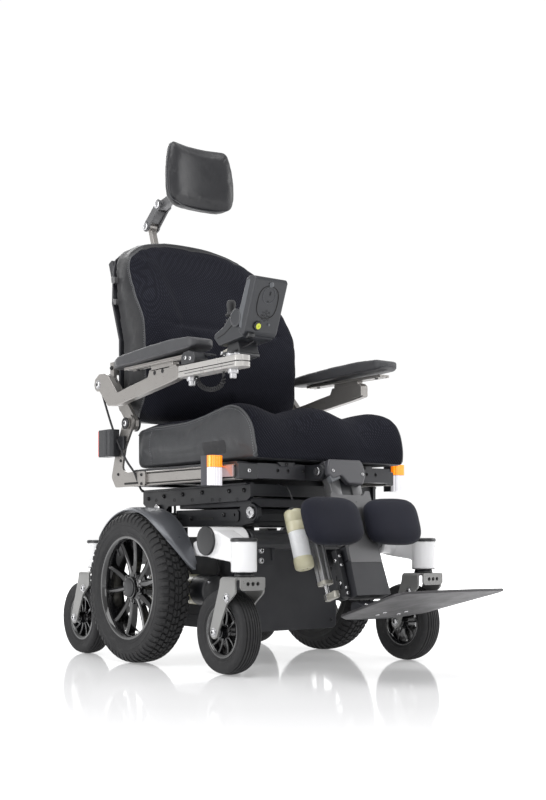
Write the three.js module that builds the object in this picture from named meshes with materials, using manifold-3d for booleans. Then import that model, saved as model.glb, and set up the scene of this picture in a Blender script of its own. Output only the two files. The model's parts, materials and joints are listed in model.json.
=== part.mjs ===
// Six-wheeled power wheelchair with tilting seat, reclining back, elevating
// legrest, flip-up armrests and swing-away joystick.
// Millimetres, +Z up. The chair faces -Y; the occupant's right is -X. The origin
// is on the floor, under the middle of the chair's outline. Every piece is drawn
// with the drive axle at Y = 0, and the whole chair is then set back by AXLE_Y.

import * as THREE from "three";
import { mergeVertices } from "three/addons/utils/BufferGeometryUtils.js";
import Module from "manifold-3d";

const wasm = await Module();
wasm.setup();

// ------------------------------------------------------------ shared dimensions
const GAP = 0.6; // running gap between neighbouring pieces
const AXLE_Y = 167.87; // drive axle, behind the middle of the outline

const DRIVE = { x: 277, radius: 172, half: 38, rimRadius: 116 }; // half: half tyre width
const DRIVE_AXLE = { y: 0, z: DRIVE.radius };
// x: swivel axis; trail: swivel axis to wheel axle
const CASTER = { x: 257, radius: 90, half: 25, rimRadius: 53.4, trail: 54 };
const SWIVEL_Y = { front: -384, rear: 218 };
const BARREL_R = 27; // swivel barrel at the end of each arm
const STEM_R = 12; // fork stem inside the barrel

const ARM_PIVOT = { y: -293, z: 279 }; // front suspension arm
const REAR_PIVOT = { y: 85, z: 245 }; // rear suspension arm
const TILT_PIVOT = { y: 62, z: 352 };
const BACK_PIVOT = { y: 95, z: 557 };
const ARMREST_PIVOT = { y: 181, z: 655 };
const KNEE = { y: -385, z: 428 }; // legrest elevating pivot

// ------------------------------------------------------------ solids
// Welds a throwaway geometry into a solid, turning it outside out if needed.
function solid(geometry) {
  geometry.deleteAttribute("normal");
  geometry.deleteAttribute("uv");
  const merged = mergeVertices(geometry, 1e-4);
  const triangles = new Uint32Array(merged.index.array);
  const pack = () =>
    new wasm.Manifold(
      new wasm.Mesh({
        numProp: 3,
        vertProperties: merged.attributes.position.array,
        triVerts: triangles,
      }),
    );
  const made = pack();
  if (made.volume() >= 0) return made;
  for (let i = 0; i < triangles.length; i += 3)
    [triangles[i + 1], triangles[i + 2]] = [triangles[i + 2], triangles[i + 1]];
  return pack();
}
const join = (...shapes) => shapes.reduce((a, b) => a.add(b));
const cut = (body, ...tools) => tools.reduce((a, b) => a.subtract(b), body);

// Spans are [start, end] along one axis.
const around = (centre, half) => [centre - half, centre + half];
const across = (half) => [-half, half];
const onSide = (side, [inner, outer]) => (side > 0 ? [inner, outer] : [-outer, -inner]);
// Builds a shape over an X span and again over the mirrored span.
const bothSides = (span, build) => [-1, 1].map((side) => build(onSide(side, span)));

function boxGeometry([x0, x1], [y0, y1], [z0, z1]) {
  return new THREE.BoxGeometry(x1 - x0, y1 - y0, z1 - z0).translate(
    (x0 + x1) / 2,
    (y0 + y1) / 2,
    (z0 + z1) / 2,
  );
}
const box = (...spans) => solid(boxGeometry(...spans));

// A round bar along one axis; centre holds its other two coordinates.
function rod(axis, radius, [start, end], centre, segments, endRadius = radius) {
  const bar = new THREE.CylinderGeometry(endRadius, radius, end - start, segments);
  bar.translate(0, (start + end) / 2, 0);
  if (axis === "x") bar.rotateZ(-Math.PI / 2);
  if (axis === "z") bar.rotateX(Math.PI / 2);
  const { x = 0, y = 0, z = 0 } = centre;
  return solid(bar.translate(x, y, z));
}

function extruded(points, depth) {
  const shape = new THREE.Shape();
  points.forEach(([a, b], i) => (i ? shape.lineTo(a, b) : shape.moveTo(a, b)));
  shape.closePath();
  return new THREE.ExtrudeGeometry(shape, { depth, bevelEnabled: false, steps: 1 });
}
// Outline in (y, z), pushed along X.
function slabX(points, [x0, x1]) {
  const turn = new THREE.Matrix4().set(0, 0, 1, x0, 1, 0, 0, 0, 0, 1, 0, 0, 0, 0, 0, 1);
  return solid(extruded(points, x1 - x0).applyMatrix4(turn));
}
// Outline in (x, z), pushed along Y.
const slabY = (points, [y0, y1]) =>
  solid(extruded(points, y1 - y0).rotateX(Math.PI / 2).translate(0, y1, 0));
// Outline in (x, y), pushed along Z.
const slabZ = (points, [z0, z1]) => solid(extruded(points, z1 - z0).translate(0, 0, z0));

// Completes an outline from the half on one side of the centre line.
const symmetric = (half) => [...half, ...half.map(([x, z]) => [-x, z]).reverse()];

// A closed profile of (radius, x), turned about the X axis through the origin.
function turnX(profile, segments) {
  const points = [...profile, profile[0]].map(([radius, x]) => new THREE.Vector2(radius, x));
  return solid(new THREE.LatheGeometry(points, segments).rotateZ(-Math.PI / 2));
}

function geometryOf(shape) {
  const mesh = shape.getMesh();
  const geometry = new THREE.BufferGeometry();
  const positions = new Float32Array(mesh.vertProperties);
  geometry.setAttribute("position", new THREE.BufferAttribute(positions, 3));
  geometry.setIndex(new THREE.BufferAttribute(new Uint32Array(mesh.triVerts), 1));
  geometry.computeVertexNormals();
  return geometry;
}

// ------------------------------------------------------------ materials
const LOOK = {
  frame: { color: "#1d1f23", roughness: 0.5, metalness: 0.2 },
  shroud: { color: "#26272c", roughness: 0.55 },
  arm: { color: "#f2f2f2", roughness: 0.3 },
  fork: { color: "#a5a29a", roughness: 0.4, metalness: 0.6 },
  alu: { color: "#b5b1a6", roughness: 0.38, metalness: 0.7 },
  guard: { color: "#5b5e63", roughness: 0.45, metalness: 0.2 },
  tyre: { color: "#1e1f21", roughness: 0.9 },
  rim: { color: "#0e0f10", roughness: 0.2 },
  motor: { color: "#b9b7ac", roughness: 0.4, metalness: 0.5 },
  cell: { color: "#2c2f33", roughness: 0.7 },
  mesh: { color: "#121317", roughness: 0.95 },
  moulded: { color: "#2b2d31", roughness: 0.6 },
  pad: { color: "#1b1d27", roughness: 0.85 },
  lens: { color: "#f2f2f2", roughness: 0.15 },
  red: { color: "#b01512", roughness: 0.2 },
  foot: { color: "#3a3a3d", roughness: 0.5, metalness: 0.3 },
  cream: { color: "#b9b48c", roughness: 0.5 },
  button: { color: "#6e7276", roughness: 0.5 },
};

// ------------------------------------------------------------ groups
const root = new THREE.Group();
root.position.y = AXLE_Y;
// The left half is drawn at +X; the right half is its mirror image.
const left = new THREE.Group();
const right = new THREE.Group();
right.scale.x = -1;
root.add(left, right);

function addMesh(group, name, geometry, style) {
  const mesh = new THREE.Mesh(geometry, new THREE.MeshStandardMaterial(LOOK[style]));
  mesh.name = name;
  group.add(mesh);
  return mesh;
}
const add = (group, name, shape, style) => addMesh(group, name, geometryOf(shape), style);
function pair(name, shape, style, place = [0, 0, 0]) {
  const geometry = geometryOf(shape);
  addMesh(left, `${name}_left`, geometry, style).position.set(...place);
  addMesh(right, `${name}_right`, geometry, style).position.set(...place);
}

// ------------------------------------------------------------ chassis
const TUB = { half: 150, front: -196, rear: 160, floor: 78, top: 288, wall: 6 };

// Open tub with the front cross tube, brackets, rear arm bosses and channel posts.
function chassisFrame() {
  const { half, front, rear, floor, top, wall } = TUB;
  const tubeRadius = 20;
  const tubeEnd = 196;
  const bracketY = [-302, -296];
  const postX = [120, half];
  const tub = cut(
    box(across(half), [front, rear], [floor, top]),
    box(across(half - wall), [front + wall, rear - wall], [floor + wall, top + 20]),
  );
  return join(
    tub,
    rod("x", tubeRadius, across(tubeEnd), ARM_PIVOT, 16),
    box(across(190), bracketY, [286, 302]),
    ...bothSides([118, 190], (x) => box(x, bracketY, [225, 302])),
    ...bothSides([143, 151], (x) => box(x, [-300, -180], [225, 300])),
    ...bothSides([146, tubeEnd], (x) => rod("x", tubeRadius, x, REAR_PIVOT, 16)),
    ...bothSides(postX, (x) => box(x, [-236, front], [250, 311])),
    ...bothSides(postX, (x) => box(x, [30, 66], [280, 311])),
  );
}

// Flat front cover, with slanted lower corners.
function frontShroud() {
  const thickness = 6;
  const face = [ // x, z
    [-138, 73], [138, 73], [148, 84], [148, 222], [117, 222], [117, 284],
    [-117, 284], [-117, 222], [-148, 222], [-148, 84],
  ];
  return slabY(face, [TUB.front - thickness, TUB.front - GAP]);
}

// Gearbox and output shaft on the drive axle, motor lying along Y.
function motor() {
  return join(
    rod("x", 46, [151, 234], DRIVE_AXLE, 20),
    rod("x", 10, [230, 242], DRIVE_AXLE, 12),
    rod("y", 35, [-186, -20], { x: 189, z: 169 }, 18),
  );
}

// Arc band about the drive axle, as a (y, z) outline; angles start at the front.
function guardArc(innerRadius, outerRadius) {
  const [startDeg, endDeg, steps] = [15, 148, 16];
  const arc = (radius) =>
    Array.from({ length: steps + 1 }, (_, i) => {
      const angle = THREE.MathUtils.degToRad(startDeg + ((endDeg - startDeg) * i) / steps);
      return [-radius * Math.cos(angle), DRIVE.radius + radius * Math.sin(angle)];
    });
  return [...arc(innerRadius), ...arc(outerRadius).reverse()];
}

// Roof over the tyre, inner flange and a three-part bracket to the chassis.
function mudguard() {
  const innerX = 232;
  const roofTop = DRIVE.radius + 12;
  const bracketY = across(12);
  const roof = slabX(guardArc(DRIVE.radius + 8, roofTop), [innerX, 302]);
  // the roof narrows to a tip at its front end
  const corner = slabZ([[246, -190], [303.5, -120], [303.5, -190]], [200, 330]);
  return join(
    cut(roof, corner),
    slabX(guardArc(DRIVE.radius + 2.5, roofTop), [innerX, 236.5]),
    box([176, 236], bracketY, [338, 350]),
    box([176, 182], bracketY, [250, 350]),
    box([151, 182], bracketY, [250, 256]),
  );
}

add(root, "chassis_frame", chassisFrame(), "frame");
add(root, "front_shroud", frontShroud(), "shroud");
add(root, "battery_front", box(across(140), [-184, -22], [86, 262]), "cell");
add(root, "battery_rear", box(across(140), [-18, 144], [86, 240]), "cell");
add(root, "control_module", box(across(80), [20, 140], [243, 284]), "moulded");
pair("motor", motor(), "motor");
pair("mudguard", mudguard(), "guard");

// ------------------------------------------------------------ suspension
// Upright barrel at an arm's end, with a tapered cap.
function swivelBarrel(y, top) {
  const axis = { x: CASTER.x, y };
  return [
    rod("z", BARREL_R, [214, top], axis, 18),
    rod("z", BARREL_R + 0.8, [top - 1, top + 6], axis, 18, BARREL_R - 3),
  ];
}
const stemBore = (y) => rod("z", STEM_R + 1.4, [213, 268], { x: CASTER.x, y }, 10);

function frontArm() {
  // outlines in y, z
  const web = [[-268, 296], [-293, 304], [-376, 274], [-376, 238], [-300, 240], [-266, 250]];
  const tail = [[-290, 298], [-290, 254], [-150, 246], [-150, 276]];
  const arm = join(
    rod("x", 30, [197, 287], ARM_PIVOT, 18),
    rod("x", 31, [286, 292], ARM_PIVOT, 18),
    ...swivelBarrel(SWIVEL_Y.front, 279),
    slabX(web, [234, 280]),
    slabX(tail, [199, 226]),
  );
  return cut(arm, stemBore(SWIVEL_Y.front));
}

function rearArm() {
  const beam = [[85, 266], [85, 224], [204, 224], [222, 232], [222, 262], [204, 264]]; // y, z
  const arm = join(
    rod("x", 23, [197, 234], REAR_PIVOT, 20),
    slabX(beam, [202, 230]),
    box([226, 257], [200, 226], [228, 262]),
    ...swivelBarrel(SWIVEL_Y.rear, 275),
  );
  return cut(arm, stemBore(SWIVEL_Y.rear));
}

pair("front_arm", frontArm(), "arm");
pair("rear_arm", rearArm(), "arm");

// ------------------------------------------------------------ wheels
// Wheels are drawn about their own centre.
// Stations run from bead to tread: radius, inset from the tyre's side plane.
function tyre({ half, rimRadius, radius }, shoulders, treadInset, segments) {
  const stations = [[rimRadius + GAP, 8], ...shoulders, [radius, treadInset]];
  const inner = stations.map(([r, inset]) => [r, -half + inset]);
  const outer = stations.map(([r, inset]) => [r, half - inset]).reverse();
  return turnX([...inner, ...outer], segments);
}
const rimRing = ([r0, r1], [x0, x1], segments) =>
  turnX([[r0, x0], [r1, x0], [r1, x1], [r0, x1]], segments);
const fiveSpokes = (...spans) =>
  [0, 1, 2, 3, 4].map((i) => solid(boxGeometry(...spans).rotateX((i * 2 * Math.PI) / 5)));

function driveRim() {
  return join(
    rimRing([107, DRIVE.rimRadius], [-26, 25], 28),
    rod("x", 24, [-33, 24], {}, 16),
    ...fiveSpokes([6, 18], across(9), [18, 110]),
  );
}

function casterRim() {
  const rim = join(
    rimRing([47, CASTER.rimRadius], across(15), 20),
    rod("x", 14, across(27), {}, 10),
    ...fiveSpokes(across(10), across(4), [11, 49]),
  );
  return cut(rim, rod("x", 7, across(30), {}, 10));
}

// Drawn about its swivel axis, at floor level.
function casterFork() {
  const top = 205;
  const blade = [ // y, z
    [-20, top], [30, top], [34, 188], [67, 98], [67, 84], [54, 76], [43, 82],
    [39, 92], [10, 150], [-20, 172],
  ];
  const crown = [[-28, -30], [28, -30], [38, -20], [38, 30], [-38, 30], [-38, -20]]; // x, y
  return join(
    slabZ(crown, [top - 6, top]),
    box(across(28), [-30, -26], [179, top]),
    ...bothSides([33, 38], (x) => slabX(blade, x)),
    rod("z", 20, [top - 1, 212.5], {}, 12),
    rod("z", STEM_R, [top - 1, 264], {}, 10),
    rod("x", 6, across(39.5), { y: CASTER.trail, z: CASTER.radius }, 8),
  );
}

const driveCentre = [DRIVE.x, 0, DRIVE.radius];
pair("drive_tyre", tyre(DRIVE, [[146, 0], [166, 5]], 16, 28), "tyre", driveCentre);
pair("drive_rim", driveRim(), "rim", driveCentre);
{
  const fork = casterFork();
  const casterTyre = tyre(CASTER, [[78, 0], [87, 5]], 14, 20);
  const rim = casterRim();
  for (const [where, y] of Object.entries(SWIVEL_Y)) {
    const centre = [CASTER.x, y + CASTER.trail, CASTER.radius];
    pair(`caster_fork_${where}`, fork, "fork", [CASTER.x, y, 0]);
    pair(`caster_tyre_${where}`, casterTyre, "tyre", centre);
    pair(`caster_rim_${where}`, rim, "rim", centre);
  }
}

// ------------------------------------------------------------ tilt module
// Tray with a pivot ear and a front bracket on each side.
function tiltBase() {
  const half = 170;
  const sideX = [160, half];
  // outlines in y, z
  const ear = [[40, 318], [84, 318], [80, 360], [70, 368], [54, 368], [44, 360]];
  const bracket = [
    [-250, 312], [-250, 352], [-290, 362], [-314, 350], [-318, 332], [-300, 318],
  ];
  const tray = cut(
    box(across(half), [-262, 75], [312, 344]),
    box(across(half - 8), [-255, 68], [318, 350]),
  );
  const eared = join(tray, ...bothSides(sideX, (x) => slabX(ear, x)));
  return join(
    cut(eared, rod("x", 9, across(half + 2), TILT_PIVOT, 16)),
    ...bothSides(sideX, (x) => slabX(bracket, x)),
    // round stops
    ...bothSides([169, 176], (x) => rod("x", 12, x, { y: -300, z: 340 }, 14)),
  );
}

// Two side plates, three cross bars and the headed tilt pins.
function tiltFrame() {
  const plate = [ // y, z
    [-304, 374], [-304, 405], [134, 400], [134, 368], [112, 354], [78, 340],
    [46, 340], [20, 360], [-290, 366],
  ];
  const barX = across(178);
  return join(
    ...bothSides([173, 181], (x) => slabX(plate, x)),
    box(barX, [-296, -246], [376, 402]),
    box(barX, [88, 130], [374, 398]),
    box(barX, [-140, -90], [380, 402]),
    ...bothSides([156, 176], (x) => rod("x", 8, x, TILT_PIVOT, 14)),
    ...bothSides([180, 185], (x) => rod("x", 12, x, TILT_PIVOT, 14)),
  );
}

add(root, "tilt_base", tiltBase(), "frame");
add(root, "tilt_frame", tiltFrame(), "frame");

// ------------------------------------------------------------ seat
function seatFrame() {
  const railZ = [408, 441];
  const railRear = 150;
  const hingePlate = [ // y, z
    [155, 408], [172, 432], [150, 500], [114, 566], [104, 576], [86, 576], [76, 566],
    [78, 548], [112, 500], [126, 443], [96, 441], [96, 408],
  ];
  const kneeLug = [ // y, z
    [-330, 413], [-330, 441], [-392, 441], [-400, 433], [-400, 422], [-392, 413],
  ];
  const frame = join(
    // side rails
    box([218, 242], [-296, railRear], railZ),
    box([-242, -218], [-300, railRear], railZ),
    // front bars and the block at their right end
    box(across(193), [-341, -325], [411, 445]),
    box([-238, 212], [-328, -306], [412, 440]),
    box(across(238), [-306, -290], [412, 440]),
    box([-243, -188], [-343, -326], [411, 443]),
    // cross bars and seat pan
    box(across(220), [-60, -20], [408, 434]),
    box(across(220), [96, 132], [408, 434]),
    box(across(212), [-326, 60], [439, 446]),
    ...bothSides([238, 247], (x) => slabX(hingePlate, x)),
    // lugs that carry the legrest
    ...bothSides([53, 61], (x) => slabX(kneeLug, x)),
  );
  return cut(
    frame,
    rod("x", 9, across(250), BACK_PIVOT, 16),
    rod("x", 8, across(70), KNEE, 16),
  );
}

function seatCushion() {
  const profile = [ // y, z
    [96, 448], [96, 537], [88, 545], [60, 549], [23, 553.5], [-96, 553.5], [-176, 561],
    [-234, 568], [-283, 570], [-330, 564], [-358, 540], [-370, 509], [-372, 452], [-366, 448],
  ];
  return slabX(profile, across(222));
}

// Each light is a block with a mounting stub on its inner side.
function frontLight() {
  const block = [ // x, y
    [246, -254], [246, -288], [252, -301], [276, -301], [282, -288], [282, -260], [276, -254],
  ];
  return join(slabZ(block, [396, 459]), box([242.8, 250], [-286, -262], [414, 438]));
}
function rearLight() {
  const block = [ // x, y
    [250, 128], [250, 187], [258, 192], [268, 192], [276, 185], [276, 136], [268, 128],
  ];
  return join(slabZ(block, [480, 545]), box([247.8, 256], [102, 132], [496, 528]));
}

add(root, "seat_frame", seatFrame(), "alu");
add(root, "seat_cushion", seatCushion(), "mesh");
pair("front_light", frontLight(), "lens");
pair("rear_light", rearLight(), "red");

// ------------------------------------------------------------ back
// Front view of the back; it trims both shell and cushion.
const BACK_HALF = 224;
const BACK_STOCK = across(230); // wider than the face, before trimming
const backFace = slabY(
  symmetric([ // x, z
    [-84, 1036], [-134, 1023], [-169, 1004], [-192, 982], [-204, 950],
    [-BACK_HALF, 862], [-BACK_HALF, 602], [-206, 562],
  ]),
  [-60, 320],
);

function backFrame() {
  // outlines in y, z
  const lowerCane = [
    [78, 550], [84, 542], [104, 540], [112, 550], [198, 648], [198, 714], [181, 714],
    [181, 676], [84, 572], [78, 564],
  ];
  const upperCane = [[181, 684], [198, 684], [198, 770], [272, 974], [258, 980], [181, 774]];
  const clampCheek = [[250, 930], [340, 930], [352, 966], [260, 966]];
  const frontBridge = [[250, 930], [296, 930], [308, 966], [260, 966]];
  const rearBridge = [[338, 930], [346, 930], [358, 966], [350, 966]];
  const clampHalf = 17;
  return join(
    ...bothSides([227, 236], (x) => slabX(lowerCane, x)),
    ...bothSides([184, 193], (x) => slabX(upperCane, x)),
    // lower and upper cross bars
    box(BACK_STOCK, [186, 198], [684, 714]),
    slabX([[243, 934], [255, 934], [266, 962], [254, 962]], across(196)),
    // clamp of the headrest post
    ...bothSides([9, clampHalf], (x) => slabX(clampCheek, x)),
    slabX(frontBridge, across(clampHalf)),
    slabX(rearBridge, across(clampHalf)),
    // hinge pins with heads, and armrest pivots
    ...bothSides([232, 252], (x) => rod("x", 8, x, BACK_PIVOT, 14)),
    ...bothSides([248.2, 253], (x) => rod("x", 13, x, BACK_PIVOT, 16)),
    ...bothSides([232, 261], (x) => rod("x", 17, x, ARMREST_PIVOT, 16)),
  );
}

function backShell() {
  const profile = [ // y, z
    [178, 594], [178, 768], [252, 974], [244, 1028], [238, 1028], [245, 974],
    [171, 768], [171, 594],
  ];
  return slabX(profile, BACK_STOCK).intersect(backFace);
}

function backCushion() {
  const profile = [ // y, z
    [42, 576], [60, 563], [150, 563], [168, 582], [168, 768], [240, 974], [232, 1028],
    [216, 1036], [196, 1022], [172, 985], [122, 935], [62, 858], [22, 791], [5, 725],
    [14, 640], [30, 602],
  ];
  return slabX(profile, BACK_STOCK).intersect(backFace);
}

add(root, "back_frame", backFrame(), "alu");
add(root, "back_shell", backShell(), "shroud");
add(root, "back_cushion", backCushion(), "mesh");

// ------------------------------------------------------------ headrest
const POST_PIVOT = { y: 388, z: 1122 }; // post to link
const PAD_PIVOT = { y: 330, z: 1168 }; // link to pad

// The post leans with the back; it slides in the clamp.
function headrestPost() {
  return join(
    slabX([[292, 866], [308, 866], [392, 1112], [376, 1112]], across(8)),
    rod("x", 13, across(12), POST_PIVOT, 16),
  );
}

function headrestLink() {
  const cheek = [ // y, z
    [376, 1118], [384, 1109], [398, 1112], [401, 1126], [343, 1178], [332, 1181],
    [318, 1174], [318, 1162], [330, 1155],
  ];
  return join(
    ...bothSides([13, 18], (x) => slabX(cheek, x)),
    // tie between the two cheeks, clear of both pivots
    box(across(14), [354, 366], [1140, 1150]),
  );
}

function headrestPad() {
  const face = [ // x, z
    [-84, 1112], [84, 1112], [98, 1126], [100, 1180], [90, 1262], [76, 1282],
    [-76, 1282], [-90, 1262], [-100, 1180], [-98, 1126],
  ];
  return join(
    rod("x", 12, across(12), PAD_PIVOT, 16),
    slabX([[330, 1160], [330, 1174], [190, 1206], [190, 1190]], across(8)),
    slabY(face, [136, 192]),
  );
}

add(root, "headrest_post", headrestPost(), "alu");
add(root, "headrest_link", headrestLink(), "alu");
add(root, "headrest_pad", headrestPad(), "moulded");

// ------------------------------------------------------------ armrests
function armrestBar() {
  const bar = [ // y, z
    [186, 638], [196, 644], [200, 655], [196, 670], [176, 680], [150, 678], [136, 672],
    [92, 628], [-44, 649], [-52, 664], [-160, 666], [-169, 660], [-169, 634], [-138, 628],
    [94, 597], [130, 600], [172, 640],
  ];
  return join(
    slabX(bar, [262, 279]),
    // carrier between the bar and the rail under the pad
    box([262, 280], [-150, -60], [660, 674]),
    box([258, 288], [-236, 44], [673, 680]),
  );
}

function armrestPad() {
  const profile = [ // y, z
    [-20, 681], [-120, 684], [-240, 688], [-262, 692], [-262, 708], [-240, 716],
    [-170, 717], [-80, 714], [27, 707], [92, 701], [100, 681],
  ];
  return slabX(profile, [238, 302]);
}

{
  const bar = armrestBar();
  const linkMount = box([272, 304], [-266, -222], [653.5, 680]);
  add(left, "armrest_bar_left", bar, "alu");
  add(right, "armrest_bar_right", join(bar, linkMount), "alu");
}
pair("armrest_pad", armrestPad(), "moulded");

// ------------------------------------------------------------ joystick
const LINK_X = -290;
const LINK_REAR = { x: LINK_X, y: -242 }; // pivots of the swing link
const LINK_FRONT = { x: LINK_X, y: -392 };
const STICK = { x: -247, y: -326, z: 722 };
const BUTTON_X = { power: -266, mode: -228 };
const HEAD_LEAN = Math.atan2(26, 58); // rear face of the head: run, rise

function swingLink() {
  const plate = [ // x from the pivots, y
    [-18, -214], [-12, -204], [12, -204], [18, -214],
    [18, -424], [10, -436], [-10, -436], [-18, -424],
  ].map(([x, y]) => [LINK_X + x, y]);
  return join(
    slabZ(plate, [628, 652]),
    rod("z", 10, [613, 629], LINK_REAR, 14),
    rod("z", 9, [614, 629], LINK_FRONT, 14),
  );
}

// A block set into the leaning rear face of the head.
const headBlock = (...spans) =>
  solid(boxGeometry(...spans).rotateX(HEAD_LEAN).translate(0, -417, 759));
const buttonPocket = (x) => headBlock(around(x, 7), [-5, 6], across(4.6));
const button = (x) => headBlock(around(x, 6.2), across(2.4), across(3.8));

function joystickHousing() {
  const profile = [ // y, z
    [-334, 681], [-416, 690], [-428, 702], [-466, 800], [-462, 806], [-446, 809],
    [-438, 806], [-412, 748], [-400, 751], [-385, 749], [-372, 738], [-352, 721],
    [-320, 709], [-317, 701],
  ];
  const bracket = [[-304, -406], [-226, -396], [-216, -350], [-240, -330], [-304, -366]]; // x, y
  const body = join(
    slabX(profile, [-288, -206]),
    // bracket under the housing, down to the front pivot of the link
    rod("z", 14, [653, 660], LINK_FRONT, 16),
    slabZ(bracket, [658, 666]),
    box([-276, -224], [-392, -344], [664, 684]),
  );
  const stickRecess = box(around(STICK.x, 17), [-343, -300], [707, 740]);
  return cut(body, stickRecess, buttonPocket(BUTTON_X.power), buttonPocket(BUTTON_X.mode));
}

// Thin stem and a knob that narrows upward in two steps.
function joystickStick() {
  const knob = { x: STICK.x, y: STICK.y + 1 };
  return join(
    rod("z", 3.5, [STICK.z, 748], { x: STICK.x, y: STICK.y }, 10),
    rod("z", 9, [745, 778], knob, 16, 7.5),
    rod("z", 7.5, [777.5, 783], knob, 16, 4),
  );
}

const gimbal = box(around(STICK.x, 10), around(STICK.y, 10), [715, 719.5]);
add(root, "joystick_swing_link", swingLink(), "alu");
add(root, "joystick_housing", joystickHousing(), "moulded");
add(root, "power_button", button(BUTTON_X.power), "button");
add(root, "mode_button", button(BUTTON_X.mode), "button");
add(root, "joystick_gimbal", gimbal, "moulded");
add(root, "joystick_stick", joystickStick(), "moulded");

// ------------------------------------------------------------ legrest
// Local frame of the legs: origin at the knee pivot, -Z down the column.
const leg = new THREE.Group();
leg.position.set(0, KNEE.y, KNEE.z);
leg.rotation.x = -0.3347; // the column's foot swings 19.2 degrees forward
root.add(leg);

const COLUMN_HALF = 44;
const ROD_AXIS = { x: -70, y: 45 }; // actuator rod

function legrestUpper() {
  return join(
    rod("x", 17, across(51), {}, 20),
    rod("x", 7, across(64), {}, 14),
    box(across(COLUMN_HALF), across(12), [-170, 0]),
    box(across(61), across(8), [-94, -86]),
    box(across(61), across(8), [-160, -152]),
    box([-92, -40], [8, 12], [-140, -104]),
  );
}

function legrestLower() {
  const face = symmetric([[-COLUMN_HALF, -172], [-49, -186], [-49, -262]]); // x, z
  return join(
    box(across(COLUMN_HALF), [-20, -12.8], [-190, -112]),
    slabY(face, [-20, 12]),
    box([-66, 0], [8, 14], [-262, -242]),
  );
}

function legrestActuator() {
  const body = join(
    rod("z", 19, [-262, -71], { x: -110, y: 52 }, 20),
    box([-126, -58], [36, 68], [-92, -66]),
    box([-82, -58], [33, 57], [-236, -70]),
    box([-86, -70], [12.6, 40], [-136, -108]),
  );
  return cut(body, rod("z", 6.5, [-240, -100], ROD_AXIS, 14));
}

function actuatorRod() {
  return join(
    rod("z", 5, [-264, -110], ROD_AXIS, 12),
    box([-76, -64], [14.6, 52], [-276, -258]),
  );
}

// Hinge pin, hinge block and pad; side is -1 or 1.
function calfPad(side) {
  const face = [ // x outward, z
    [10, -90], [24, -76], [146, -76], [160, -90],
    [160, -158], [142, -178], [28, -178], [10, -160],
  ].map(([x, z]) => [side * x, z]);
  return join(
    rod("z", 7, [-151.4, -94.6], { x: side * 54 }, 14),
    box(onSide(side, [49, 60]), [-24, 0], [-142, -104]),
    slabY(face, [-62, -22.6]),
  );
}

add(leg, "legrest_upper", legrestUpper(), "alu");
add(leg, "legrest_lower", legrestLower(), "shroud");
add(leg, "legrest_actuator", legrestActuator(), "cream");
add(leg, "actuator_rod", actuatorRod(), "alu");
add(leg, "calf_pad_right", calfPad(-1), "pad");
add(leg, "calf_pad_left", calfPad(1), "pad");

// ------------------------------------------------------------ footplate
function footplate() {
  const rake = { y: -528, z: 124, angle: -0.26 }; // toe-up, about a line along X
  const outline = [ // x, y
    [-119, rake.y], [-147, -720], [-140, -740], [-60, -744], [60, -744], [140, -740],
    [147, -720], [119, rake.y], [80, -496], [-80, -496],
  ];
  const hinge = [ // y, z
    [-500, 118], [-472, 128], [-468, 134], [-470, 148], [-486, 150], [-520, 132],
  ];
  const plate = extruded(outline, 6)
    .translate(0, -rake.y, 0)
    .rotateX(rake.angle)
    .translate(0, rake.y, rake.z);
  return join(solid(plate), slabX(hinge, across(40)));
}

add(root, "footplate", footplate(), "foot");

export default root;
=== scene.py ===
import bpy
import bmesh
import json
import math
import numpy as np
from mathutils import Matrix, Vector

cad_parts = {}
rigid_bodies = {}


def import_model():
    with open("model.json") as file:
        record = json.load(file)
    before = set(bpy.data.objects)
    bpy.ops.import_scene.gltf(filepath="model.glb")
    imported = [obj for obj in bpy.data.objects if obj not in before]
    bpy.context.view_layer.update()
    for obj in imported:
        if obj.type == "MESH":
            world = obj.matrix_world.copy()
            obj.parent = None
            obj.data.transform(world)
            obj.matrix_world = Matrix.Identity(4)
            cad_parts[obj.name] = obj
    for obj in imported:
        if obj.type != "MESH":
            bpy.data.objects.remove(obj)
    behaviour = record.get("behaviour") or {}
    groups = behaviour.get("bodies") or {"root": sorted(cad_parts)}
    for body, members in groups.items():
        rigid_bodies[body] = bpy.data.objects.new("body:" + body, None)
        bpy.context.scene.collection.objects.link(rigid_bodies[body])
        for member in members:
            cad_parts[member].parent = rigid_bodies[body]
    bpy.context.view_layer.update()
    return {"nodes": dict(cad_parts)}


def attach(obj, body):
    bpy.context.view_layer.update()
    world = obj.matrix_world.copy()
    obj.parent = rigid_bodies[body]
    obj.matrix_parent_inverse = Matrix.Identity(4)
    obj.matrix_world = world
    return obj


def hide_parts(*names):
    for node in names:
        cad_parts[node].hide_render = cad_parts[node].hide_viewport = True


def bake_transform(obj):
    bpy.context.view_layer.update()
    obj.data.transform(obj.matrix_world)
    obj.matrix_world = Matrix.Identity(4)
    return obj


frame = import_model()
NODES = frame["nodes"]
MM = 0.001
COL = bpy.context.scene.collection
rng = np.random.default_rng(7)


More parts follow.
